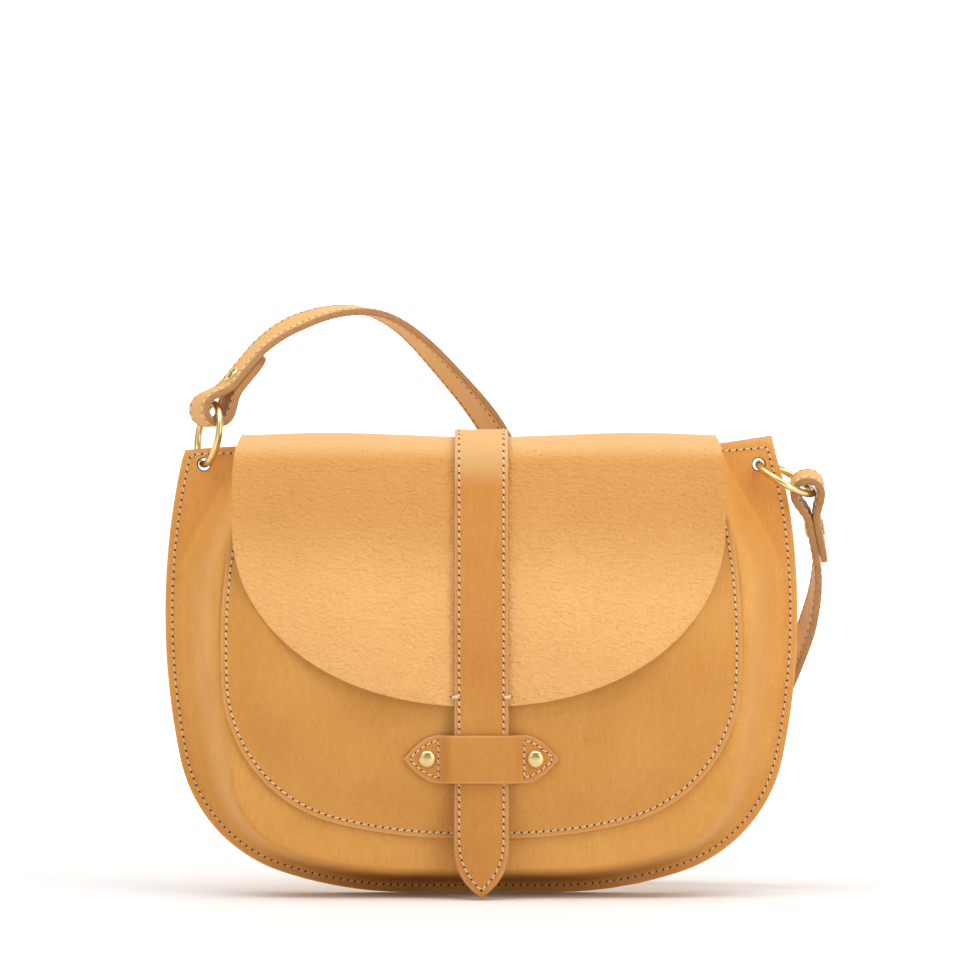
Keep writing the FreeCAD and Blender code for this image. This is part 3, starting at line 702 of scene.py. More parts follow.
# %% [markdown]
# The back is a flat panel with the saddle outline. Rows of points run from the cut edge inwards to
# the middle of the top edge, so no point is shared by many faces. Leather that hangs is never
# quite flat, so a slow wave of half a millimetre runs over it. Both ring holes are punched through.

# %% Back panel
BACK_FACE, BACK_HIDE, SLOW_WAVE = 2.0, 1.9, 0.5
BACK_SHARES = (1, 0.985, 0.965, 0.93, 0.87, 0.79, 0.69, 0.57, 0.44, 0.31, 0.19, 0.09, 0)
HOLE_REACH, HOLE_HEIGHT, HOLE_RADIUS = 123.2, 190.0, 2.75
RING_HOLES = [(side * HOLE_REACH, HOLE_HEIGHT, HOLE_RADIUS) for side in (-1, 1)]


def wave(x, z):
    return SLOW_WAVE * (np.sin(x / 31 + z / 47) * 0.6 + np.sin(x / 53 - z / 29 + 1.3) * 0.4)


def run_along(points):
    """Distance of each point along a row of points."""
    return np.concatenate([[0], np.cumsum(np.linalg.norm(np.diff(points, axis=0), axis=1))])


def fan(outline, shares, top):
    """Rows from the outline to its own shadow on the middle of the top edge."""
    run = run_along(outline)
    shadow = np.stack([outline[0, 0] * (0.5 - run / run[-1]), np.full(len(outline), top)], axis=1)
    return [shadow + share * (outline - shadow) for share in shares]


def back_panel_grid():
    grid = []
    for share, row in zip(BACK_SHARES, fan(body_outline, BACK_SHARES, BODY["top"])):
        x, z = row.T
        y = BACK_FACE - abs(wave(x, z)) * min(1, (1 - share) * 6)
        grid.append(np.stack([x + corner_draw(x, z), y, z + corner_lift(x, z)], axis=1))
    return grid


back_leather = leather_sheet("back_leather", back_panel_grid(), BACK_HIDE, smooth_tan, flip=True,
                             holes=RING_HOLES)
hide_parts("back_panel")
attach(back_leather, "bag")
print("back panel points:", len(back_leather.data.vertices))

# %% [markdown]
# The front is wet-moulded over a form. A flat seam flange runs all round, wide at the two top
# corners, and from it the leather swells into the face in one soft S-curve without a crease. Rows
# of points step inwards from the cut edge, each one deeper than the last. The underside climbs
# towards the front, which is why its shaded band shows over the bottom seam.

# %% Moulded front
FLANGE, TOP_FLANGE, LOW_FLANGE = 5.0, 24.0, 3.2
SWELL, TOP_SWELL, LOW_SWELL = 22.0, 15.0, 10.5
FLANGE_FACE, FRONT_HIDE, DEPTH = -2.0, 1.8, 40.0
FLANGE_INSETS = (0, 0.9, 1.8, 2.6)
FRONT_SHARES = (0.95, 0.89, 0.81, 0.71, 0.59, 0.46, 0.33, 0.21, 0.10, 0)
SWELL_SHARES = np.linspace(0, 1, 21)


def soft_step(value):
    value = np.clip(value, 0, 1)
    return value * value * (3 - 2 * value)


def inward_ways(outline):
    """Directions into the panel, square to the outline below and level at the top."""
    step = np.gradient(outline, axis=0)
    ways = units(np.stack([-step[:, 1], step[:, 0]], axis=1))
    level = np.stack([-np.sign(outline[:, 0]), np.zeros(len(outline))], axis=1)
    share = soft_step((outline[:, 1] - 110) / 70)[:, None]
    return units(ways * (1 - share) + level * share)


def swell_row(share):
    """Outline of the moulding at a share of the way from the flange to the face."""
    height = body_outline[:, 1]
    top = soft_step((height - 140) / 58.5)
    low = 1 - soft_step((height - 4) / 60)
    first = FLANGE + (TOP_FLANGE - FLANGE) * top + (LOW_FLANGE - FLANGE) * low
    reach = SWELL + (TOP_SWELL - SWELL) * top + (LOW_SWELL - SWELL) * low
    return body_outline + inward_ways(body_outline) * (first + reach * share)[:, None]


def swell_depth(share):
    return FLANGE_FACE - (DEPTH + FLANGE_FACE) * share ** 3 * (share * (6 * share - 15) + 10)


def front_panel_grid():
    rows = [(body_outline + inward_ways(body_outline) * inset, FLANGE_FACE) for inset in FLANGE_INSETS]
    rows += [(swell_row(share), swell_depth(share)) for share in SWELL_SHARES]
    for share, row in zip(FRONT_SHARES, fan(swell_row(1), FRONT_SHARES, BODY["top"])):
        rows.append((row, -DEPTH + abs(wave(*row.T)) * (1 - share)))
    grid = []
    for row, y in rows:
        x, z = row.T
        grid.append(np.stack([x + corner_draw(x, z), np.full(len(x), y), z + corner_lift(x, z)], axis=1))
    return grid


front_leather = leather_sheet("front_leather", front_panel_grid(), FRONT_HIDE, smooth_tan, holes=RING_HOLES)
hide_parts("front_panel")
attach(front_leather, "bag")
print("moulded front points:", len(front_leather.data.vertices))

# %% [markdown]
# Inside the mouth a narrow facing strengthens the top of the moulded front. It is a band that
# follows the inside of the moulding, a leather's thickness away from it.

# %% Mouth facing
FACING_LOW, FACING_HIGH = 180.5, 197.6
FACING_GAP, FACING_HIDE = 2.1, 1.3
FACING_SHARES = np.linspace(0.22, 1, 14)


def side_reach(outline, height):
    """How far the right side of an outline reaches at a height."""
    right = outline[len(outline) // 2:]
    return float(np.interp(height, right[:, 1], right[:, 0]))


def facing_grid():
    grid = []
    rows = [swell_row(share) for share in FACING_SHARES]
    for height in np.linspace(FACING_HIGH, FACING_LOW, 5):
        profile = np.array([(side_reach(row, height), swell_depth(share))
                            for row, share in zip(rows, FACING_SHARES)])
        step = np.gradient(profile, axis=0)
        profile += FACING_GAP * units(np.stack([step[:, 1], -step[:, 0]], axis=1))
        left = [(-x, y, height) for x, y in profile]
        right = [(x, y, height) for x, y in profile[::-1]]
        middle = [(x, left[-1][1], height) for x in np.linspace(left[-1][0], right[0][0], 26)[1:-1]]
        grid.append(left + middle + right)
    return grid


mouth_band = leather_sheet("mouth_band", facing_grid(), FACING_HIDE, smooth_tan, rounding=0.3)
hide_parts("mouth_facing")
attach(mouth_band, "bag")
print("facing points:", len(mouth_band.data.vertices))

# %% [markdown]
# The patch pocket is sewn flat along its edge and swells gently towards the middle. Its outline is
# another saddle, and each row's height comes from its distance to the edge.

# %% Front pocket
POCKET = dict(half_width=114, widest=110, draw_in=6, top=168, base_half=12, base=26.5, base_radius=210,
              corner_radius=66)
POCKET_SHARES = (1, 0.99, 0.978, 0.962, 0.94, 0.91, 0.87, 0.82, 0.76, 0.68, 0.58, 0.46, 0.33, 0.2, 0.09, 0)
POCKET_EDGE, POCKET_SWELL, POCKET_HIDE = -41.9, 4.6, 1.8
POCKET_FLAT, POCKET_RISE = 2.2, 22.0
pocket_outline = saddle(**POCKET)


def pocket_grid():
    grid = []
    for row in fan(pocket_outline, POCKET_SHARES, POCKET["top"]):
        x, z = row.T
        inward = np.linalg.norm(pocket_outline - row, axis=1)
        y = POCKET_EDGE - POCKET_SWELL * soft_step((inward - POCKET_FLAT) / POCKET_RISE)
        grid.append(np.stack([x, y, z], axis=1))
    return grid


pocket_leather = leather_sheet("pocket_leather", pocket_grid(), POCKET_HIDE, pocket_tan)
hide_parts("front_pocket")
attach(pocket_leather, "bag")
print("pocket points:", len(pocket_leather.data.vertices))

# %% [markdown]
# Flap and closure strap are both folded over the mouth: up the back, over the top and down the
# front. One profile of that fold in (y, z), moved outwards by the hides that lie under it, serves
# them both, and their seams as well.

# %% Fold profile
REAR, TOP, FRONT = 2.3, 200.6, -47.0
REAR_ROLL, FRONT_ROLL = 2.0, 9.0
FLAP_HIDE, CLOSURE_HIDE = 2.2, 2.4
FLAP_FACE, CLOSURE_FACE = FRONT - FLAP_HIDE, FRONT - FLAP_HIDE - CLOSURE_HIDE


def fold_profile(off, rear_low):
    """Points (y, z) and outward normals from the rear lower edge over the fold to the front roll's end."""
    path = []
    rear_centre = np.array((REAR - REAR_ROLL, TOP - REAR_ROLL))
    front_centre = np.array((FRONT + FRONT_ROLL, TOP - FRONT_ROLL))
    for height in np.linspace(rear_low, rear_centre[1], 10)[:-1]:
        path.append(((REAR + off, height), (1, 0)))
    for angle in np.radians(np.linspace(0, 90, 8)):
        way = np.array((math.cos(angle), math.sin(angle)))
        path.append((rear_centre + way * (REAR_ROLL + off), way))
    for y in np.linspace(rear_centre[0], front_centre[0], 14)[1:-1]:
        path.append(((y, TOP + off), (0, 1)))
    for angle in np.radians(np.linspace(90, 180, 13)):
        way = np.array((math.cos(angle), math.sin(angle)))
        path.append((front_centre + way * (FRONT_ROLL + off), way))
    return [np.array(place) for place, _ in path], [np.array(way) for _, way in path]


print("fold from", REAR, "to", FRONT, "mm at height", TOP)

# %% [markdown]
# A folded piece is cut across its flat top into a rear half and a front half, and each cut is
# closed with a flat face. Each half then has its placing applied to its points.

# %% Split at the top
MID_TOP = -20.0


def split_at(item, y, rear_name, front_name):
    halves = []
    for name, keep_front in ((rear_name, False), (front_name, True)):
        half = item.copy()
        half.data = item.data.copy()
        half.name = half.data.name = name
        scene.collection.objects.link(half)
        work = bmesh.new()
        work.from_mesh(half.data)
        found = bmesh.ops.bisect_plane(
            work, geom=work.verts[:] + work.edges[:] + work.faces[:], dist=1e-7, plane_co=(0, y * MM, 0),
            plane_no=(0, 1, 0), clear_outer=keep_front, clear_inner=not keep_front)
        cut = [edge for edge in found["geom_cut"] if isinstance(edge, bmesh.types.BMEdge)]
        for face in bmesh.ops.holes_fill(work, edges=cut, sides=0)["faces"]:
            face.smooth = False
            for edge in face.edges:
                edge.smooth = False
        work.to_mesh(half.data)
        work.free()
        halves.append(half)
    bpy.data.objects.remove(item)
    return halves


def bend_rear(item):
    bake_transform(item)


def bend_front(item):
    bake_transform(item)


print("folded pieces part at", MID_TOP, "mm")

# %% [markdown]
# The flap falls down the front in a half ellipse. Columns of points run over the fold, each one
# ends on the ellipse, and they crowd towards the sides, where the ellipse turns up. The hide
# settles towards the body at its sides, billows between and sags under the closure strap.

# %% Flap
FLAP_LEFT, FLAP_RIGHT, FLAP_SHOULDER, FLAP_LOW = 109.0, 106.6, 163.5, 84.0
FLAP_SQUARENESS = 2.12
FLAP_REAR_LOW = 168.0
FLAP_COLUMNS, FALL_ROWS = 97, 22
SETTLE, BILLOW, RIPPLE = 2.6, 3.4, 0.3
PROUD, SAG, SHOULDER_TUCK = 1.05, 1.0, 0.040


def hump(value, middle, reach):
    return math.exp(-((value - middle) / reach) ** 2)


def flap_edge(turn):
    """Lower edge of the flap by an angle from minus to plus a right angle, a slightly squared ellipse."""
    across, down = math.sin(turn), math.cos(turn)
    power = 2 / FLAP_SQUARENESS
    x = math.copysign(abs(across) ** power, across) * (FLAP_LEFT if across < 0 else FLAP_RIGHT)
    return x, FLAP_SHOULDER - (FLAP_SHOULDER - FLAP_LOW) * abs(down) ** power


def flap_lean(x, z):
    settled = SETTLE * soft_step((abs(x) - 62) / 46) * soft_step((192 - z) / 40)
    billow = BILLOW * hump(abs(x), 42, 30) * hump(z, 108, 30) * soft_step((abs(x) - 10) / 12)
    return settled - billow - RIPPLE * math.sin(x / 17 + z / 23) * soft_step((190 - z) / 30)


def flap_bow(x, z):
    proud = PROUD * hump(abs(x), 72, 30) * max(1 - (abs(x) / 105) ** 8, 0)
    return (proud - SAG * hump(x, 0, 30)) * soft_step((z - 180) / 20)


def flap_grid():
    places, _ = fold_profile(FLAP_HIDE, FLAP_REAR_LOW)
    roll_end = places[-1][1]
    grid = [[] for _ in range(len(places) + FALL_ROWS)]
    for turn in np.radians(np.linspace(-90, 90, FLAP_COLUMNS)):
        x, low = flap_edge(turn)
        fall = [(FLAP_FACE, z) for z in np.linspace(roll_end, low, FALL_ROWS + 1)[1:]]
        for row, (y, z) in enumerate(places + fall):
            narrow = 1 - SHOULDER_TUCK * math.exp(-max(TOP + FLAP_HIDE - z, 0) / 7)
            lean = flap_lean(x, z) if row >= len(places) else 0
            grid[row].append((x * narrow, y + lean, z + flap_bow(x, z)))
    return grid


flap_whole = leather_sheet("flap_whole", flap_grid(), FLAP_HIDE, pebbled_tan, flip=True)
flap_back, flap_fall = split_at(flap_whole, MID_TOP, "flap_back", "flap_fall")
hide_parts("flap_rear")
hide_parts("flap_top", "flap_front")
bend_rear(flap_back)
bend_front(flap_fall)
print("flap points:", len(flap_back.data.vertices), len(flap_fall.data.vertices))

# %% [markdown]
# The closure strap lies along the middle of the flap from the back to the front and ends in a
# pointed tail. The tail is lined, and the lining is cut a little wider, so its edge shows as a
# second contour. The strap is swept along the fold profile like the flap.

# %% Closure strap and lined tail
CLOSURE_HALF, CLOSURE_REAR_LOW = 11.7, 174.0
TAIL_TIP, TAIL_POINT, TAIL_CURVE = 0.7, 24.0, 2.7
LINING_MARGIN, LINING_TOP, LINING_HIDE, LINING_GAP = 0.4, 82.6, 1.6, 0.02


def tail_half(z, half, tip):
    """Half width of the pointed tail at a height."""
    beyond = min(max((tip + TAIL_POINT - z) / TAIL_POINT, 0), 1)
    return half * (1 - beyond ** TAIL_CURVE)


def tail_heights(start, tip):
    straight = np.linspace(start, tip + TAIL_POINT, 34)[1:]
    point = tip + TAIL_POINT * np.cos(np.radians(np.linspace(0, 90, 13)))[1:]
    return np.concatenate([straight, point])


def tail_lean(z):
    """The free tail hangs back a little below the keeper."""
    return 1.2 * soft_step((46 - z) / 44)


def tail_rows(heights, face, half, tip, columns):
    shares = np.linspace(-1, 1, columns)
    return [[(share * tail_half(z, half, tip), face + tail_lean(z), z) for share in shares] for z in heights]


def closure_grid():
    places, _ = fold_profile(FLAP_HIDE + CLOSURE_HIDE, CLOSURE_REAR_LOW)
    folded = [[(share * CLOSURE_HALF, y, z) for share in np.linspace(-1, 1, 11)] for y, z in places]
    heights = tail_heights(places[-1][1], TAIL_TIP)
    return folded + tail_rows(heights, CLOSURE_FACE, CLOSURE_HALF, TAIL_TIP, 11)


def lining_grid():
    tip = TAIL_TIP - LINING_MARGIN
    heights = np.concatenate([[LINING_TOP], tail_heights(LINING_TOP, tip)])
    return tail_rows(heights, FLAP_FACE + LINING_GAP, CLOSURE_HALF + LINING_MARGIN, tip, 9)


closure_whole = leather_sheet("closure_whole", closure_grid(), CLOSURE_HIDE, closure_tan, flip=True)
closure_back, closure_fall = split_at(closure_whole, MID_TOP, "closure_back", "closure_fall")
tail_lining = leather_sheet("tail_lining", lining_grid(), LINING_HIDE, closure_tan, flip=True)
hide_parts("closure_rear")
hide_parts("closure_top", "closure_front", "closure_tail")
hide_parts("closure_tail_lining")
bend_rear(closure_back)
bend_front(closure_fall)
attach(tail_lining, "flap_front")
print("closure strap points:", len(closure_fall.data.vertices))

# %% [markdown]
# The keeper is a bridge of leather with pointed ends, sewn and riveted at both ends and raised in
# the middle to let the tail through. Its height over the pocket is a smooth hump across.

# %% Keeper
KEEPER_HALF, KEEPER_RISE, KEEPER_STRAIGHT, KEEPER_HEIGHT = 33.7, 10.4, 19.3, 61.3
KEEPER_SEAT, KEEPER_CROWN, KEEPER_HIDE = -48.6, -53.9, 1.9
KEEPER_CURVE = 1.77
CROWN_HALF, CROWN_SLOPE = 12.8, 6.4


def keeper_reach(x):
    """Half height of the keeper at a distance from its middle."""
    beyond = max(abs(x) - KEEPER_STRAIGHT, 0) / (KEEPER_HALF - KEEPER_STRAIGHT)
    return KEEPER_RISE * max(1 - beyond ** KEEPER_CURVE, 0)


def keeper_face(x):
    return KEEPER_CROWN + (KEEPER_SEAT - KEEPER_CROWN) * float(soft_step((abs(x) - CROWN_HALF) / CROWN_SLOPE))


def keeper_grid():
    half = list(np.linspace(0, KEEPER_STRAIGHT, 22)[:-1])
    run = KEEPER_HALF - KEEPER_STRAIGHT
    half += [KEEPER_STRAIGHT + run * math.sin(angle) for angle in np.radians(np.linspace(0, 90, 18))]
    across = [-x for x in reversed(half[1:])] + half
    rows = np.linspace(-1, 1, 13)
    return [[(x, keeper_face(x), KEEPER_HEIGHT + row * keeper_reach(x)) for x in across] for row in rows]


keeper_leather = leather_sheet("keeper_leather", keeper_grid(), KEEPER_HIDE, closure_tan, rounding=0.45)
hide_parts("keeper")
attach(keeper_leather, "bag")
print("keeper points:", len(keeper_leather.data.vertices))

# %% [markdown]
# Each end of the shoulder strap folds round its ring and is riveted to itself. The ring's plane
# gives the fold its directions. In that plane the centre line runs down the short tail, round
# the wire and back up, pinched together just past the ring.

# %% Rings' planes and strap ends
RING_RADIUS = 13.6
LEFT_YAW, LEFT_LEAN, LEFT_CLIMB = 22, 9, 49
RIGHT_DIP, RIGHT_BACK, RIGHT_ROLL = 27.5, 4, 12
RIGHT_SPLAY, RIGHT_TURN = 11, 6
STRAP_HALF, STRAP_HIDE = 10.0, 3.0
LOOP_RADIUS, LOOP_OFFSET = 4.95, 2.6
FOLD_SPACE, FOLD_LENGTH, PINCH_LENGTH, STRAIGHT_LENGTH = 0.3, 34.0, 11.0, 32.0


def unit(vector):
    return vector / np.linalg.norm(vector)


def sine(degrees):
    return math.sin(math.radians(degrees))


def cosine(degrees):
    return math.cos(math.radians(degrees))


def ring_frames():
    """Hole, reach and cross direction of each ring, as the CAD model sets them."""
    ahead = np.array((cosine(LEFT_YAW), sine(LEFT_YAW), 0))
    cross_left = np.array((-sine(LEFT_YAW), cosine(LEFT_YAW), 0))
    reach_left = np.array((0, 0, cosine(LEFT_LEAN))) + ahead * sine(LEFT_LEAN)
    reach_right = np.array((cosine(RIGHT_BACK) * cosine(RIGHT_DIP), sine(RIGHT_BACK),
                            -cosine(RIGHT_BACK) * sine(RIGHT_DIP)))
    level = unit(np.array((0, 1, 0)) - reach_right * reach_right[1])
    cross_right = level * cosine(RIGHT_ROLL) + np.cross(reach_right, level) * sine(RIGHT_ROLL)
    hole = np.array((HOLE_REACH, 0, HOLE_HEIGHT))
    return {"left": (hole * (-1, 1, 1), reach_left, cross_left), "right": (hole, reach_right, cross_right)}


def strap_end(side):
    """Centre line of one folded end from its tail round the ring, and the directions of the fold."""
    hole, reach, cross = ring_frames()[side]
    centre = hole + reach * (2 * RING_RADIUS - LOOP_OFFSET)
    if side == "left":
        along = np.array((cross[1], -cross[0], 0)) * cosine(LEFT_CLIMB) + np.array((0, 0, sine(LEFT_CLIMB)))
    else:
        along = np.array((sine(RIGHT_SPLAY), sine(RIGHT_TURN), -cosine(RIGHT_SPLAY)))
    along = unit(along - cross * (along @ cross))
    outward = np.cross(along, cross) if side == "left" else np.cross(cross, along)
    radius = LOOP_RADIUS + STRAP_HIDE / 2
    offset = (STRAP_HIDE + FOLD_SPACE) / 2
    tangent = math.atan2(offset, PINCH_LENGTH) + math.acos(radius / math.hypot(PINCH_LENGTH, offset))
    plan = [(FOLD_LENGTH, -offset), (PINCH_LENGTH, -offset)]
    for angle in np.linspace(2 * math.pi - tangent, tangent, 33):
        plan.append((radius * math.cos(angle), radius * math.sin(angle)))
    plan += [(PINCH_LENGTH, offset), (STRAIGHT_LENGTH, offset)]
    return [centre + along * u + outward * v for u, v in plan], cross, centre, along, outward


print("left ring reaches", ring_frames()["left"][1], "right", ring_frames()["right"][1])

# %% [markdown]
# A strap bends evenly between the places that it passes. A natural cubic curve does the same: it
# goes through all its knots and spreads the bend between them. Two more helpers read rows of
# values at new stops along a run and ease out small corners.

# %% Curve helpers
def smooth_path(knots, stations):
    """A natural cubic curve through the knots, as a function of the station."""
    knots, gaps = np.array(knots), np.diff(stations)
    count = len(knots)
    matrix, sums = np.eye(count), np.zeros((count, 3))
    for i in range(1, count - 1):
        matrix[i, i - 1:i + 2] = gaps[i - 1], 2 * (gaps[i - 1] + gaps[i]), gaps[i]
        sums[i] = 6 * ((knots[i + 1] - knots[i]) / gaps[i] - (knots[i] - knots[i - 1]) / gaps[i - 1])
    bend = np.linalg.solve(matrix, sums)

    def at(station):
        i = int(np.clip(np.searchsorted(stations, station) - 1, 0, count - 2))
        gap, a, b = gaps[i], stations[i + 1] - station, station - stations[i]
        return (bend[i] * a ** 3 + bend[i + 1] * b ** 3) / (6 * gap) + (
            knots[i] / gap - bend[i] * gap / 6) * a + (knots[i + 1] / gap - bend[i + 1] * gap / 6) * b

    return at


def read_at(stops, run, values):
    """Rows of values read at stops along their run."""
    return np.stack([np.interp(stops, run, column) for column in np.asarray(values).T], axis=1)


def eased(rows):
    """Each row between its neighbours, four times over; the ends stay."""
    for _ in range(4):
        rows[1:-1] = (rows[:-2] + 2 * rows[1:-1] + rows[2:]) / 4
    return rows


print("curve helpers ready")

# %% [markdown]
# The strap is a stiff flat strap that stands up in an arch. A smooth curve through a few places
# in the air joins its two ends. The width turns slowly along that curve, so the upper side shows
# on the left of the arch and the underside on the right. Each place has three shares of the
# arch's reach, the turn of the width in degrees and its tilt.

# %% Shoulder strap line
STRAP_REACH = np.array((140.4, 79.0, 259.2))
STRAP_ROUTE = (
    (-0.595, 0.258, 0.976, 27, 0.15), (-0.456, 0.387, 1.000, 28, 0.11), (-0.345, 0.498, 0.997, 30, 0.11),
    (-0.230, 0.623, 0.962, 32, 0.14), (-0.112, 0.766, 0.897, 35, 0.08), (0.010, 0.905, 0.817, 36, 0),
    (0.095, 0.975, 0.735, 33, 0), (0.158, 1.000, 0.630, 27, 0), (0.222, 0.985, 0.485, 17, 0),
    (0.310, 0.925, 0.315, 4, 0), (0.456, 0.800, 0.190, -12, 0), (0.655, 0.633, 0.155, -18, 0),
    (0.850, 0.430, 0.222, -8, 0.1), (0.968, 0.270, 0.350, 9, 0.2), (1.036, 0.165, 0.455, 12, 0.25))
STRAP_STEP, ROUTE_STEPS = 1.3, 220


def strap_line():
    """Even stations along the strap: distance, centres and width directions."""
    left, cross_left, *_ = strap_end("left")
    right, cross_right, *_ = strap_end("right")
    air = [np.array(row[:3]) * STRAP_REACH for row in STRAP_ROUTE]
    route = [left[-2], left[-1], *air, right[-1], right[-2]]
    turns = [(-sine(yaw), cosine(yaw), tilt) for *_, yaw, tilt in STRAP_ROUTE]
    widths = [cross_left, cross_left, *turns, cross_right, cross_right]
    stations = run_along(route)
    path = smooth_path(route, stations)
    span = np.linspace(stations[1], stations[-2], ROUTE_STEPS)[1:-1]
    centres = np.array(left + [path(station) for station in span] + right[::-1])
    directions = np.vstack([
        [cross_left] * len(left), read_at(span, stations, widths), [cross_right] * len(right)])
    run = run_along(centres)
    even = np.linspace(0, run[-1], int(run[-1] / STRAP_STEP))
    return even, eased(read_at(even, run, centres)), eased(read_at(even, run, directions))


def strap_axes(centres, directions):
    """Width and outward directions, square to the line."""
    tangents = units(np.gradient(centres, axis=0))
    across = units(directions - tangents * np.sum(directions * tangents, axis=1)[:, None])
    return across, np.cross(tangents, across)


strap_run, strap_centres, strap_widths = strap_line()
strap_across, strap_normals = strap_axes(strap_centres, strap_widths)
print(f"strap leather {strap_run[-1]:.0f} mm")

# %% [markdown]
# A rounded cross-section is swept along that line. The folded tails end in half circles, so the
# width follows a circle over the last few millimetres. The rims of the section take the edge
# finish, and the grain runs along the strap.

# %% Shoulder strap
SECTION_ROUND, RIM_BAND = 0.55, 0.2
FACE_STOPS = (5, 0, -5)
END_ROUND, END_BAND = 1.6, 1.2
LEAST_WIDTH, LEAST_THICKNESS = 0.06, 0.35


def strap_section():
    """Cross-section as (across, out) with rounded corners, and which of its runs are cut edge."""
    half, thick = STRAP_HALF - SECTION_ROUND, STRAP_HIDE / 2 - SECTION_ROUND
    loop = []
    for corner_x, corner_z, start in ((1, 1, 0), (-1, 1, 90), (-1, -1, 180), (1, -1, 270)):
        for turn in (0, 30, 60, 90):
            loop.append((corner_x * half + SECTION_ROUND * cosine(start + turn),
                         corner_z * thick + SECTION_ROUND * sine(start + turn)))
        if corner_x == corner_z:
            loop += [(corner_x * x, corner_z * STRAP_HIDE / 2) for x in FACE_STOPS]
    rims = [abs(x0 + x1) / 2 > STRAP_HALF - RIM_BAND for (x0, _), (x1, _) in zip(loop, loop[1:] + loop[:1])]
    return loop, rims


def rounded(distance, radius):
    """Share of the full size at a distance from a round end."""
    return math.sqrt(max(1 - max(1 - distance / radius, 0) ** 2, 0))


def make_strap():
    loop, rims = strap_section()
    rows, sides = len(strap_run), len(loop)
    from_end = np.minimum(strap_run, strap_run[-1] - strap_run)
    points, rest, rim = [], [], []
    for run, near, centre, across, out in zip(
            strap_run, from_end, strap_centres, strap_across, strap_normals):
        narrow = max(rounded(near, STRAP_HALF), LEAST_WIDTH)
        thin = LEAST_THICKNESS + (1 - LEAST_THICKNESS) * rounded(near, END_ROUND)
        for x, z in loop:
            points.append(centre + across * x * narrow + out * z * thin)
            rest.append((x * MM, z * MM, run * MM))
            rim.append(min((STRAP_HALF - abs(x)) * narrow, near))
    faces = tube_faces(rows, sides, turn_back=True, capped=True)
    finish = [int(cut_edge or near < END_BAND) for near in from_end[:-1] for cut_edge in rims] + [1, 1]
    strap = link_mesh("strap_leather", points, faces, (strap_tan, edge_finish))
    strap.data.polygons.foreach_set("material_index", finish)
    note_points(strap, "rest", "FLOAT_VECTOR", rest)
    note_points(strap, "rim", "FLOAT", rim)
    clean(strap, outward=True)
    strap.data.shade_smooth()
    return strap


strap_leather = make_strap()
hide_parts("shoulder_strap")
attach(strap_leather, "strap")
print("strap points:", len(strap_leather.data.vertices))

# %% [markdown]
# The rings are round brass wire bent to a circle and soldered. A soldered joint stands a hair
# proud with a fine groove in it, so the wire's radius varies a little there.

# %% Rings
RING_WIRE, RING_STEPS, WIRE_SIDES = 1.6, 120, 20
JOINT_TURN, JOINT_RISE, JOINT_GROOVE = math.radians(62), 0.07, 0.16


def make_ring(side):
    hole, reach, cross = ring_frames()[side]
    centre = hole + reach * RING_RADIUS
    axis = np.cross(reach, cross)
    points = []
    for turn in 2 * math.pi * np.arange(RING_STEPS) / RING_STEPS:
        way = reach * math.cos(turn) + cross * math.sin(turn)
        from_joint = abs((turn - JOINT_TURN + math.pi) % (2 * math.pi) - math.pi) * RING_RADIUS
        wire = RING_WIRE + JOINT_RISE * hump(from_joint, 0, 1.6) - JOINT_GROOVE * hump(from_joint, 0, 0.25)
        for out, over in circle(WIRE_SIDES):
            points.append(centre + way * (RING_RADIUS + wire * out) + axis * wire * over)
    name = "ring_" + side
    faces = tube_faces(RING_STEPS, WIRE_SIDES, turn_back=True, closed=True)
    ring = link_mesh("brass_" + name, points, faces, (brass_finish,))
    ring.data.shade_smooth()
    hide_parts(name)
    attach(ring, name)
    return ring


rings = [make_ring(side) for side in ("left", "right")]
print("rings:", [ring.name for ring in rings])

# %% [markdown]
# A rivet is a domed cap on a hollow stud. Both are turned round one axis from a drawn profile: the
# cap has a rolled rim and a soft dome, and the stud has a flat base under the leather. A flat dark
# ring, painted shade of the hole's wall, is turned the same way round each punched ring hole.

# %% Rivets
CAP_PROFILE = (
    (0, 1.70), (0.9, 1.66), (1.8, 1.53), (2.5, 1.34), (3.0, 1.12), (3.35, 0.90), (3.6, 0.66), (3.75, 0.42),
    (3.8, 0.2), (3.76, 0.02), (3.6, -0.05), (0, -0.05))
STUD_PROFILE = (
    (0, 0.02), (1.45, 0.02), (1.5, 0.3), (3.3, 0.32), (3.65, 0.5), (3.7, 0.8), (3.5, 1.1), (2.9, 1.2),
    (1.3, 1.2), (1.1, 1.0), (0, 0.95))
HOLE_SHADE_PROFILE = (
    (2.74, -0.6), (2.74, 0.02), (2.84, 0.10), (3.05, 0.10), (3.2, 0.02), (3.15, -0.3), (2.74, -0.6))
TURNED_SIDES, TURNED_MERGE = 36, 0.001
KEEPER_RIVET_REACH, KEEPER_STUD_SEAT = 23.6, -44.7
STRAP_RIVET_DISTANCE = 18.0


def turned(name, profile, seats, finish=brass_finish):
    """Turned pieces on their seats; a seat is a place and an outward direction."""
    points, faces = [], []
    for place, outward in seats:
        outward = unit(np.array(outward, float))
        side = unit(np.cross(outward, (0.3, 0.5, 0.8)))
        other = np.cross(outward, side)
        faces += tube_faces(len(profile), TURNED_SIDES, first=len(points))
        for radius, height in profile:
            for along, across in circle(TURNED_SIDES):
                points.append(place + outward * height + (side * along + other * across) * radius)
    item = link_mesh(name, points, faces, (finish,))
    clean(item, merge=TURNED_MERGE, outward=True)
    item.data.shade_smooth()
    return item


def keeper_seats(y, toward):
    return [((side * KEEPER_RIVET_REACH, y, KEEPER_HEIGHT), (0, toward, 0)) for side in (-1, 1)]


def strap_seats(face):
    seats = []
    for side in ("left", "right"):
        _, _, centre, along, outward = strap_end(side)
        out = outward * face
        seats.append((centre + along * STRAP_RIVET_DISTANCE + out * (STRAP_HIDE + FOLD_SPACE / 2), out))
    return seats


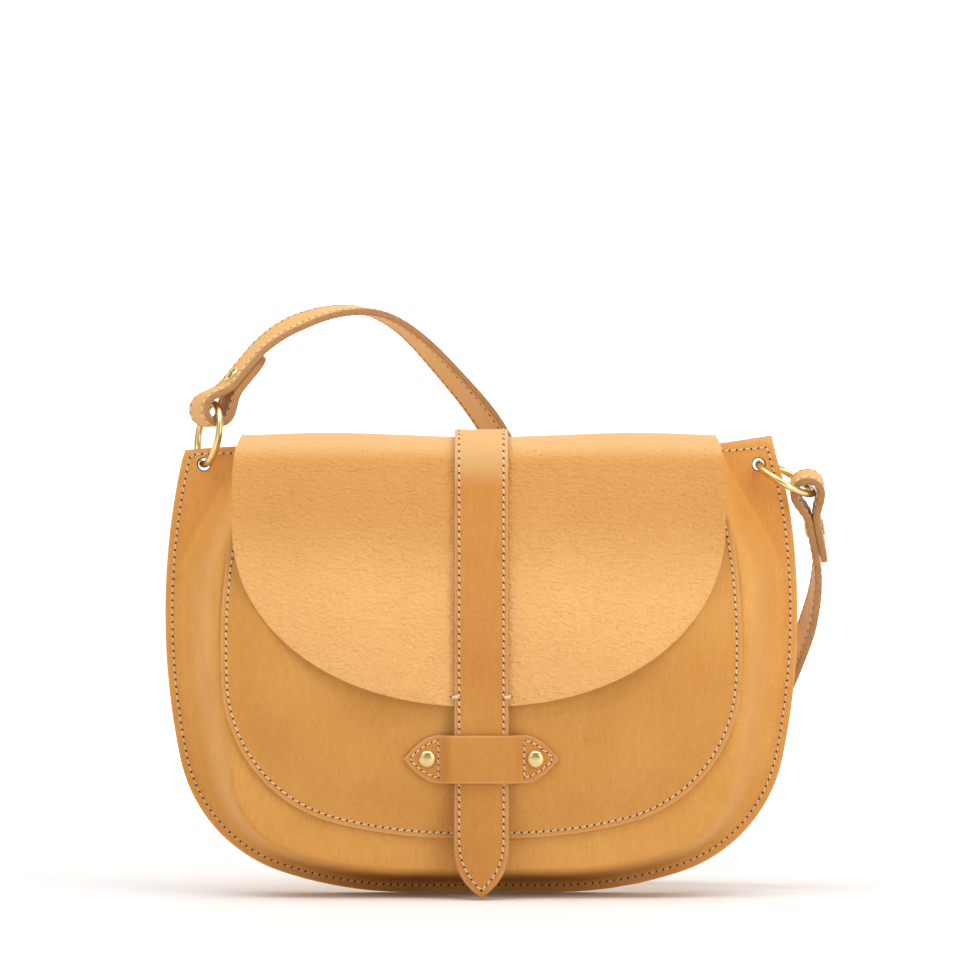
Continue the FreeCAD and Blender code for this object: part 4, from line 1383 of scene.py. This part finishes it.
keeper_caps = turned("keeper_caps", CAP_PROFILE, keeper_seats(KEEPER_SEAT, -1))
keeper_studs = turned("keeper_studs", STUD_PROFILE, keeper_seats(KEEPER_STUD_SEAT, 1))
strap_caps = turned("strap_caps", CAP_PROFILE, strap_seats(1))
strap_studs = turned("strap_studs", STUD_PROFILE, strap_seats(-1))
for item, cad_node, body in (
        (keeper_caps, "keeper_rivet_caps", "bag"), (keeper_studs, "keeper_rivet_studs", "bag"),
        (strap_caps, "strap_rivet_caps", "strap"), (strap_studs, "strap_rivet_studs", "strap")):
    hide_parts(cad_node)
    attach(item, body)
# Painted shade: a flat dark ring on front and back round each ring hole.
hole_shade_seats = [((x, y, z), (0, toward, 0)) for y, toward in ((FLANGE_FACE, -1), (BACK_FACE, 1))
             for x, z, _ in RING_HOLES]
hole_shade_rings = turned("hole_shade_rings", HOLE_SHADE_PROFILE, hole_shade_seats, hole_shade_finish)
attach(hole_shade_rings, "bag")
print("rivet points:", len(keeper_caps.data.vertices), len(strap_studs.data.vertices))

# %% [markdown]
# Every seam is sewn with pale waxed thread. A stitch is a short arched tube that dives into a
# needle hole at each end and leans a little, as hand sewing does. A needle hole is a flat dark
# dimple, painted shade of the hole, that the thread's end sinks into.

# %% Stitch and needle hole
STITCH_LENGTH, THREAD_RADIUS, NEEDLE_RADIUS = 3.2, 0.32, 0.56
THREAD_LEAN, THREAD_ARCH, THREAD_SINK, THREAD_ENDS = 0.24, 0.34, 0.16, 0.72
STITCH_RINGS, THREAD_SIDES, HOLE_SIDES = 5, 6, 10
HOLE_RINGS = ((1.0, -0.05), (0.9, 0.05))


def stepped(points, normals, length):
    """The run divided into equal stitches near the given length."""
    run = run_along(points)
    stops = np.linspace(0, run[-1], max(int(round(run[-1] / length)), 1) + 1)
    return read_at(stops, run, points), units(read_at(stops, run, normals))


def stitch_points(start, end, way, radius):
    along = unit(end - start)
    way = unit(way - along * (way @ along))
    side = np.cross(along, way)
    points = []
    for share in np.linspace(0.15, 0.85, STITCH_RINGS):
        arch = math.sin(math.pi * share)
        lean = side * THREAD_LEAN * math.cos(math.pi * share)
        centre = start + (end - start) * share + way * (THREAD_ARCH * arch - THREAD_SINK) + lean
        thick = radius * (THREAD_ENDS + (1 - THREAD_ENDS) * arch)
        points += [centre + (side * out + way * over) * thick for out, over in circle(THREAD_SIDES)]
    return points


def hole_points(place, way, ahead, radius):
    side = unit(np.cross(way, ahead))
    ahead = np.cross(side, way)
    return [place + way * lift + (side * out + ahead * over) * radius * share
            for share, lift in HOLE_RINGS for out, over in circle(HOLE_SIDES)]


print("stitch and needle hole ready")

# %% [markdown]
# A seam is a run of points with outward directions. The run is stepped off at the stitch length,
# and all its stitches and holes become one piece. A seam on a moulded panel is drawn flat first
# and dropped onto the leather.

# %% Seam maker
def sew(name, runs, length=STITCH_LENGTH, radius=THREAD_RADIUS, hole=NEEDLE_RADIUS):
    """One piece with all stitches and holes of the runs; a run is a list of points and of normals."""
    points, faces, finish = [], [], []
    for places, ways in (stepped(*run, length) for run in runs):
        for start, end, way in zip(places, places[1:], ways[:-1] + ways[1:]):
            tube = tube_faces(STITCH_RINGS, THREAD_SIDES, len(points), turn_back=True, capped=True)
            points += stitch_points(start, end, way, radius)
            faces += tube
            finish += [0] * len(tube)
        for index, (place, way) in enumerate(zip(places, ways)):
            ahead = places[min(index + 1, len(places) - 1)] - places[max(index - 1, 0)]
            # A needle hole is a flat dark disc: painted shade of the hole.
            dimple = tube_faces(len(HOLE_RINGS), HOLE_SIDES, len(points), capped=True)
            points += hole_points(place, way, ahead, hole)
            faces += dimple
            finish += [1] * len(dimple)
    item = link_mesh(name, points, faces, (thread_finish, hole_shade_finish))
    item.data.polygons.foreach_set("material_index", finish)
    item.data.shade_smooth()
    return item


def dropped(item, path, toward):
    """The path's (x, z) points dropped along Y onto a piece, with the normals there."""
    tree = BVHTree.FromPolygons([tuple(point) for point in points_of(item)],
                                [tuple(face.vertices) for face in item.data.polygons])
    places, ways = [], []
    for x, z in path:
        hit, way, _, _ = tree.ray_cast(Vector((x * MM, -toward * 0.2, z * MM)), Vector((0, toward, 0)))
        if hit is not None:
            places.append(np.array(hit) / MM)
            ways.append(np.array(way))
    return places, ways


print("seam maker ready")

# %% [markdown]
# The body seam runs just inside the cut edge, right round both panels and a short way along the
# top from each corner. It goes through both, so the back shows the same line. A second line
# along the mouth holds the facing, and the pocket has its own seam.

# %% Body and pocket seams
SEAM_INSET, POCKET_SEAM_INSET = 3.2, 2.3
TOP_SEAM_END = 108
MOUTH_SEAM_HALF, MOUTH_SEAM_HEIGHT = 99, 194.0


def drawn_in(outline, inset):
    """The outline moved inwards, square to itself."""
    step = units(np.gradient(outline, axis=0))
    return outline + np.stack([-step[:, 1], step[:, 0]], axis=1) * inset


def body_seam():
    top = BODY["top"] - SEAM_INSET
    path = drawn_in(body_outline, SEAM_INSET)
    path = path[path[:, 1] < top]
    tab = np.linspace(TOP_SEAM_END, side_reach(body_outline, top) - SEAM_INSET, 10)
    left = np.stack([-tab, np.full(len(tab), top)], axis=1)
    x, z = np.vstack([left, path, (left * (-1, 1))[::-1]]).T
    return np.stack([x + corner_draw(x, z), z + corner_lift(x, z)], axis=1)


front_seam = sew("front_seam", [dropped(front_leather, body_seam(), 1)])
back_seam = sew("back_seam", [dropped(back_leather, body_seam(), -1)])
mouth_path = [(x, MOUTH_SEAM_HEIGHT) for x in np.linspace(-MOUTH_SEAM_HALF, MOUTH_SEAM_HALF, 60)]
mouth_seam = sew("mouth_seam", [dropped(front_leather, mouth_path, 1)])
pocket_path = drawn_in(pocket_outline, POCKET_SEAM_INSET)
pocket_seam = sew("pocket_seam", [dropped(pocket_leather, pocket_path, 1)])
for item in (front_seam, back_seam, mouth_seam, pocket_seam):
    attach(item, "bag")
print("body seam faces:", len(front_seam.data.polygons))

# %% [markdown]
# The closure strap has a line along each edge. On the back a third line joins them. On the front
# the two lines run down the tail and meet in its point.

# %% Closure seams
CLOSURE_SEAM, CLOSURE_SEAM_LOW, TAIL_SEAM_INSET = 9.7, 177.0, 3.4


def closure_run(side, rear):
    """One line of stitching over the fold: the rear part stops at the middle of the top."""
    places, ways = fold_profile(FLAP_HIDE + CLOSURE_HIDE, CLOSURE_SEAM_LOW)
    chosen = [(place, way) for place, way in zip(places, ways) if (place[0] > MID_TOP) == rear]
    points = [(side * CLOSURE_SEAM, y, z) for (y, z), _ in chosen]
    normals = [(0, y, z) for _, (y, z) in chosen]
    if not rear:
        tip = TAIL_TIP + TAIL_SEAM_INSET
        for z in tail_heights(points[-1][2], tip):
            points.append((side * tail_half(z, CLOSURE_SEAM, tip), CLOSURE_FACE + tail_lean(z), z))
            normals.append((0, -1, 0))
    return points, normals


rear_ends = [(side * CLOSURE_SEAM, REAR + FLAP_HIDE + CLOSURE_HIDE, CLOSURE_SEAM_LOW) for side in (-1, 1)]
rear_runs = [closure_run(side, True) for side in (-1, 1)] + [(rear_ends, [(0, 1, 0)] * 2)]
closure_rear_seam = sew("closure_rear_seam", rear_runs)
closure_front_seam = sew("closure_front_seam", [closure_run(side, False) for side in (-1, 1)])
bend_rear(closure_rear_seam)
bend_front(closure_front_seam)
print("closure seam faces:", len(closure_front_seam.data.polygons))

# %% [markdown]
# The keeper has a three-sided line round each rivet: down the upright, out along one arc and back
# along the other. A short bar of thread locks the closure strap to the flap's lower edge on each
# side.

# %% Keeper seam and bars
KEEPER_UPRIGHT, KEEPER_SEAM_TIP, KEEPER_SEAM_RISE, KEEPER_SEAM_CURVE = 18.7, 31.6, 8.1, 1.6
BAR_HEIGHT = 88.4
BAR_STOPS = ((9.5, CLOSURE_FACE - 0.3, 0), (11.9, CLOSURE_FACE - 0.4, 0.4), (13.3, FLAP_FACE - 0.9, 0.5))


def keeper_run(side):
    out = np.linspace(0, 1, 14)
    xs = KEEPER_UPRIGHT + (KEEPER_SEAM_TIP - KEEPER_UPRIGHT) * out
    rises = KEEPER_SEAM_RISE * (1 - out ** KEEPER_SEAM_CURVE)
    arc = list(zip(xs, rises))
    path = [(KEEPER_UPRIGHT, rise) for rise in np.linspace(-KEEPER_SEAM_RISE, KEEPER_SEAM_RISE, 12)]
    path += arc[1:] + [(x, -rise) for x, rise in reversed(arc[:-1])]
    return dropped(keeper_leather, [(side * x, KEEPER_HEIGHT + rise) for x, rise in path], 1)


def bar_run(side):
    """A short bar from the closure strap down onto the flap."""
    points = [(side * x, y, BAR_HEIGHT) for x, y, _ in BAR_STOPS]
    return points, [(side * turn, -1, 0) for _, _, turn in BAR_STOPS]


keeper_seam = sew("keeper_seam", [keeper_run(side) for side in (-1, 1)], length=2.75, hole=0.42)
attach(keeper_seam, "bag")
bar_tacks = sew("bar_tacks", [bar_run(side) for side in (-1, 1)], length=4.4, radius=0.85, hole=0.45)
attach(bar_tacks, "flap_front")
print("keeper seam faces:", len(keeper_seam.data.polygons))

# %% [markdown]
# The flap is held to the back panel by a line along its lower edge there. The shoulder strap is
# two layers sewn together along both edges, so each face shows two lines.

# %% Flap and strap seams
FLAP_SEAM_HALF, FLAP_SEAM_HEIGHT = 103.4, 171.2
STRAP_SEAM_INSET, STRAP_SEAM_END = 2.2, 6


def strap_seam(side, face):
    keep = (strap_run > STRAP_SEAM_END) & (strap_run < strap_run[-1] - STRAP_SEAM_END)
    across = strap_across * side * (STRAP_HALF - STRAP_SEAM_INSET)
    points = strap_centres + across + strap_normals * face * STRAP_HIDE / 2
    return points[keep], (strap_normals * face)[keep]


flap_stops = np.linspace(-FLAP_SEAM_HALF, FLAP_SEAM_HALF, 80)
flap_path = [(x, REAR + FLAP_HIDE, FLAP_SEAM_HEIGHT) for x in flap_stops]
flap_seam = sew("flap_seam", [(flap_path, [(0, 1, 0)] * len(flap_path))])
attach(flap_seam, "bag")
strap_runs = [strap_seam(side, face) for side in (-1, 1) for face in (-1, 1)]
strap_stitches = sew("strap_stitches", strap_runs, length=3.5, radius=0.26, hole=0.64)
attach(strap_stitches, "strap")
print("strap stitch faces:", len(strap_stitches.data.polygons))
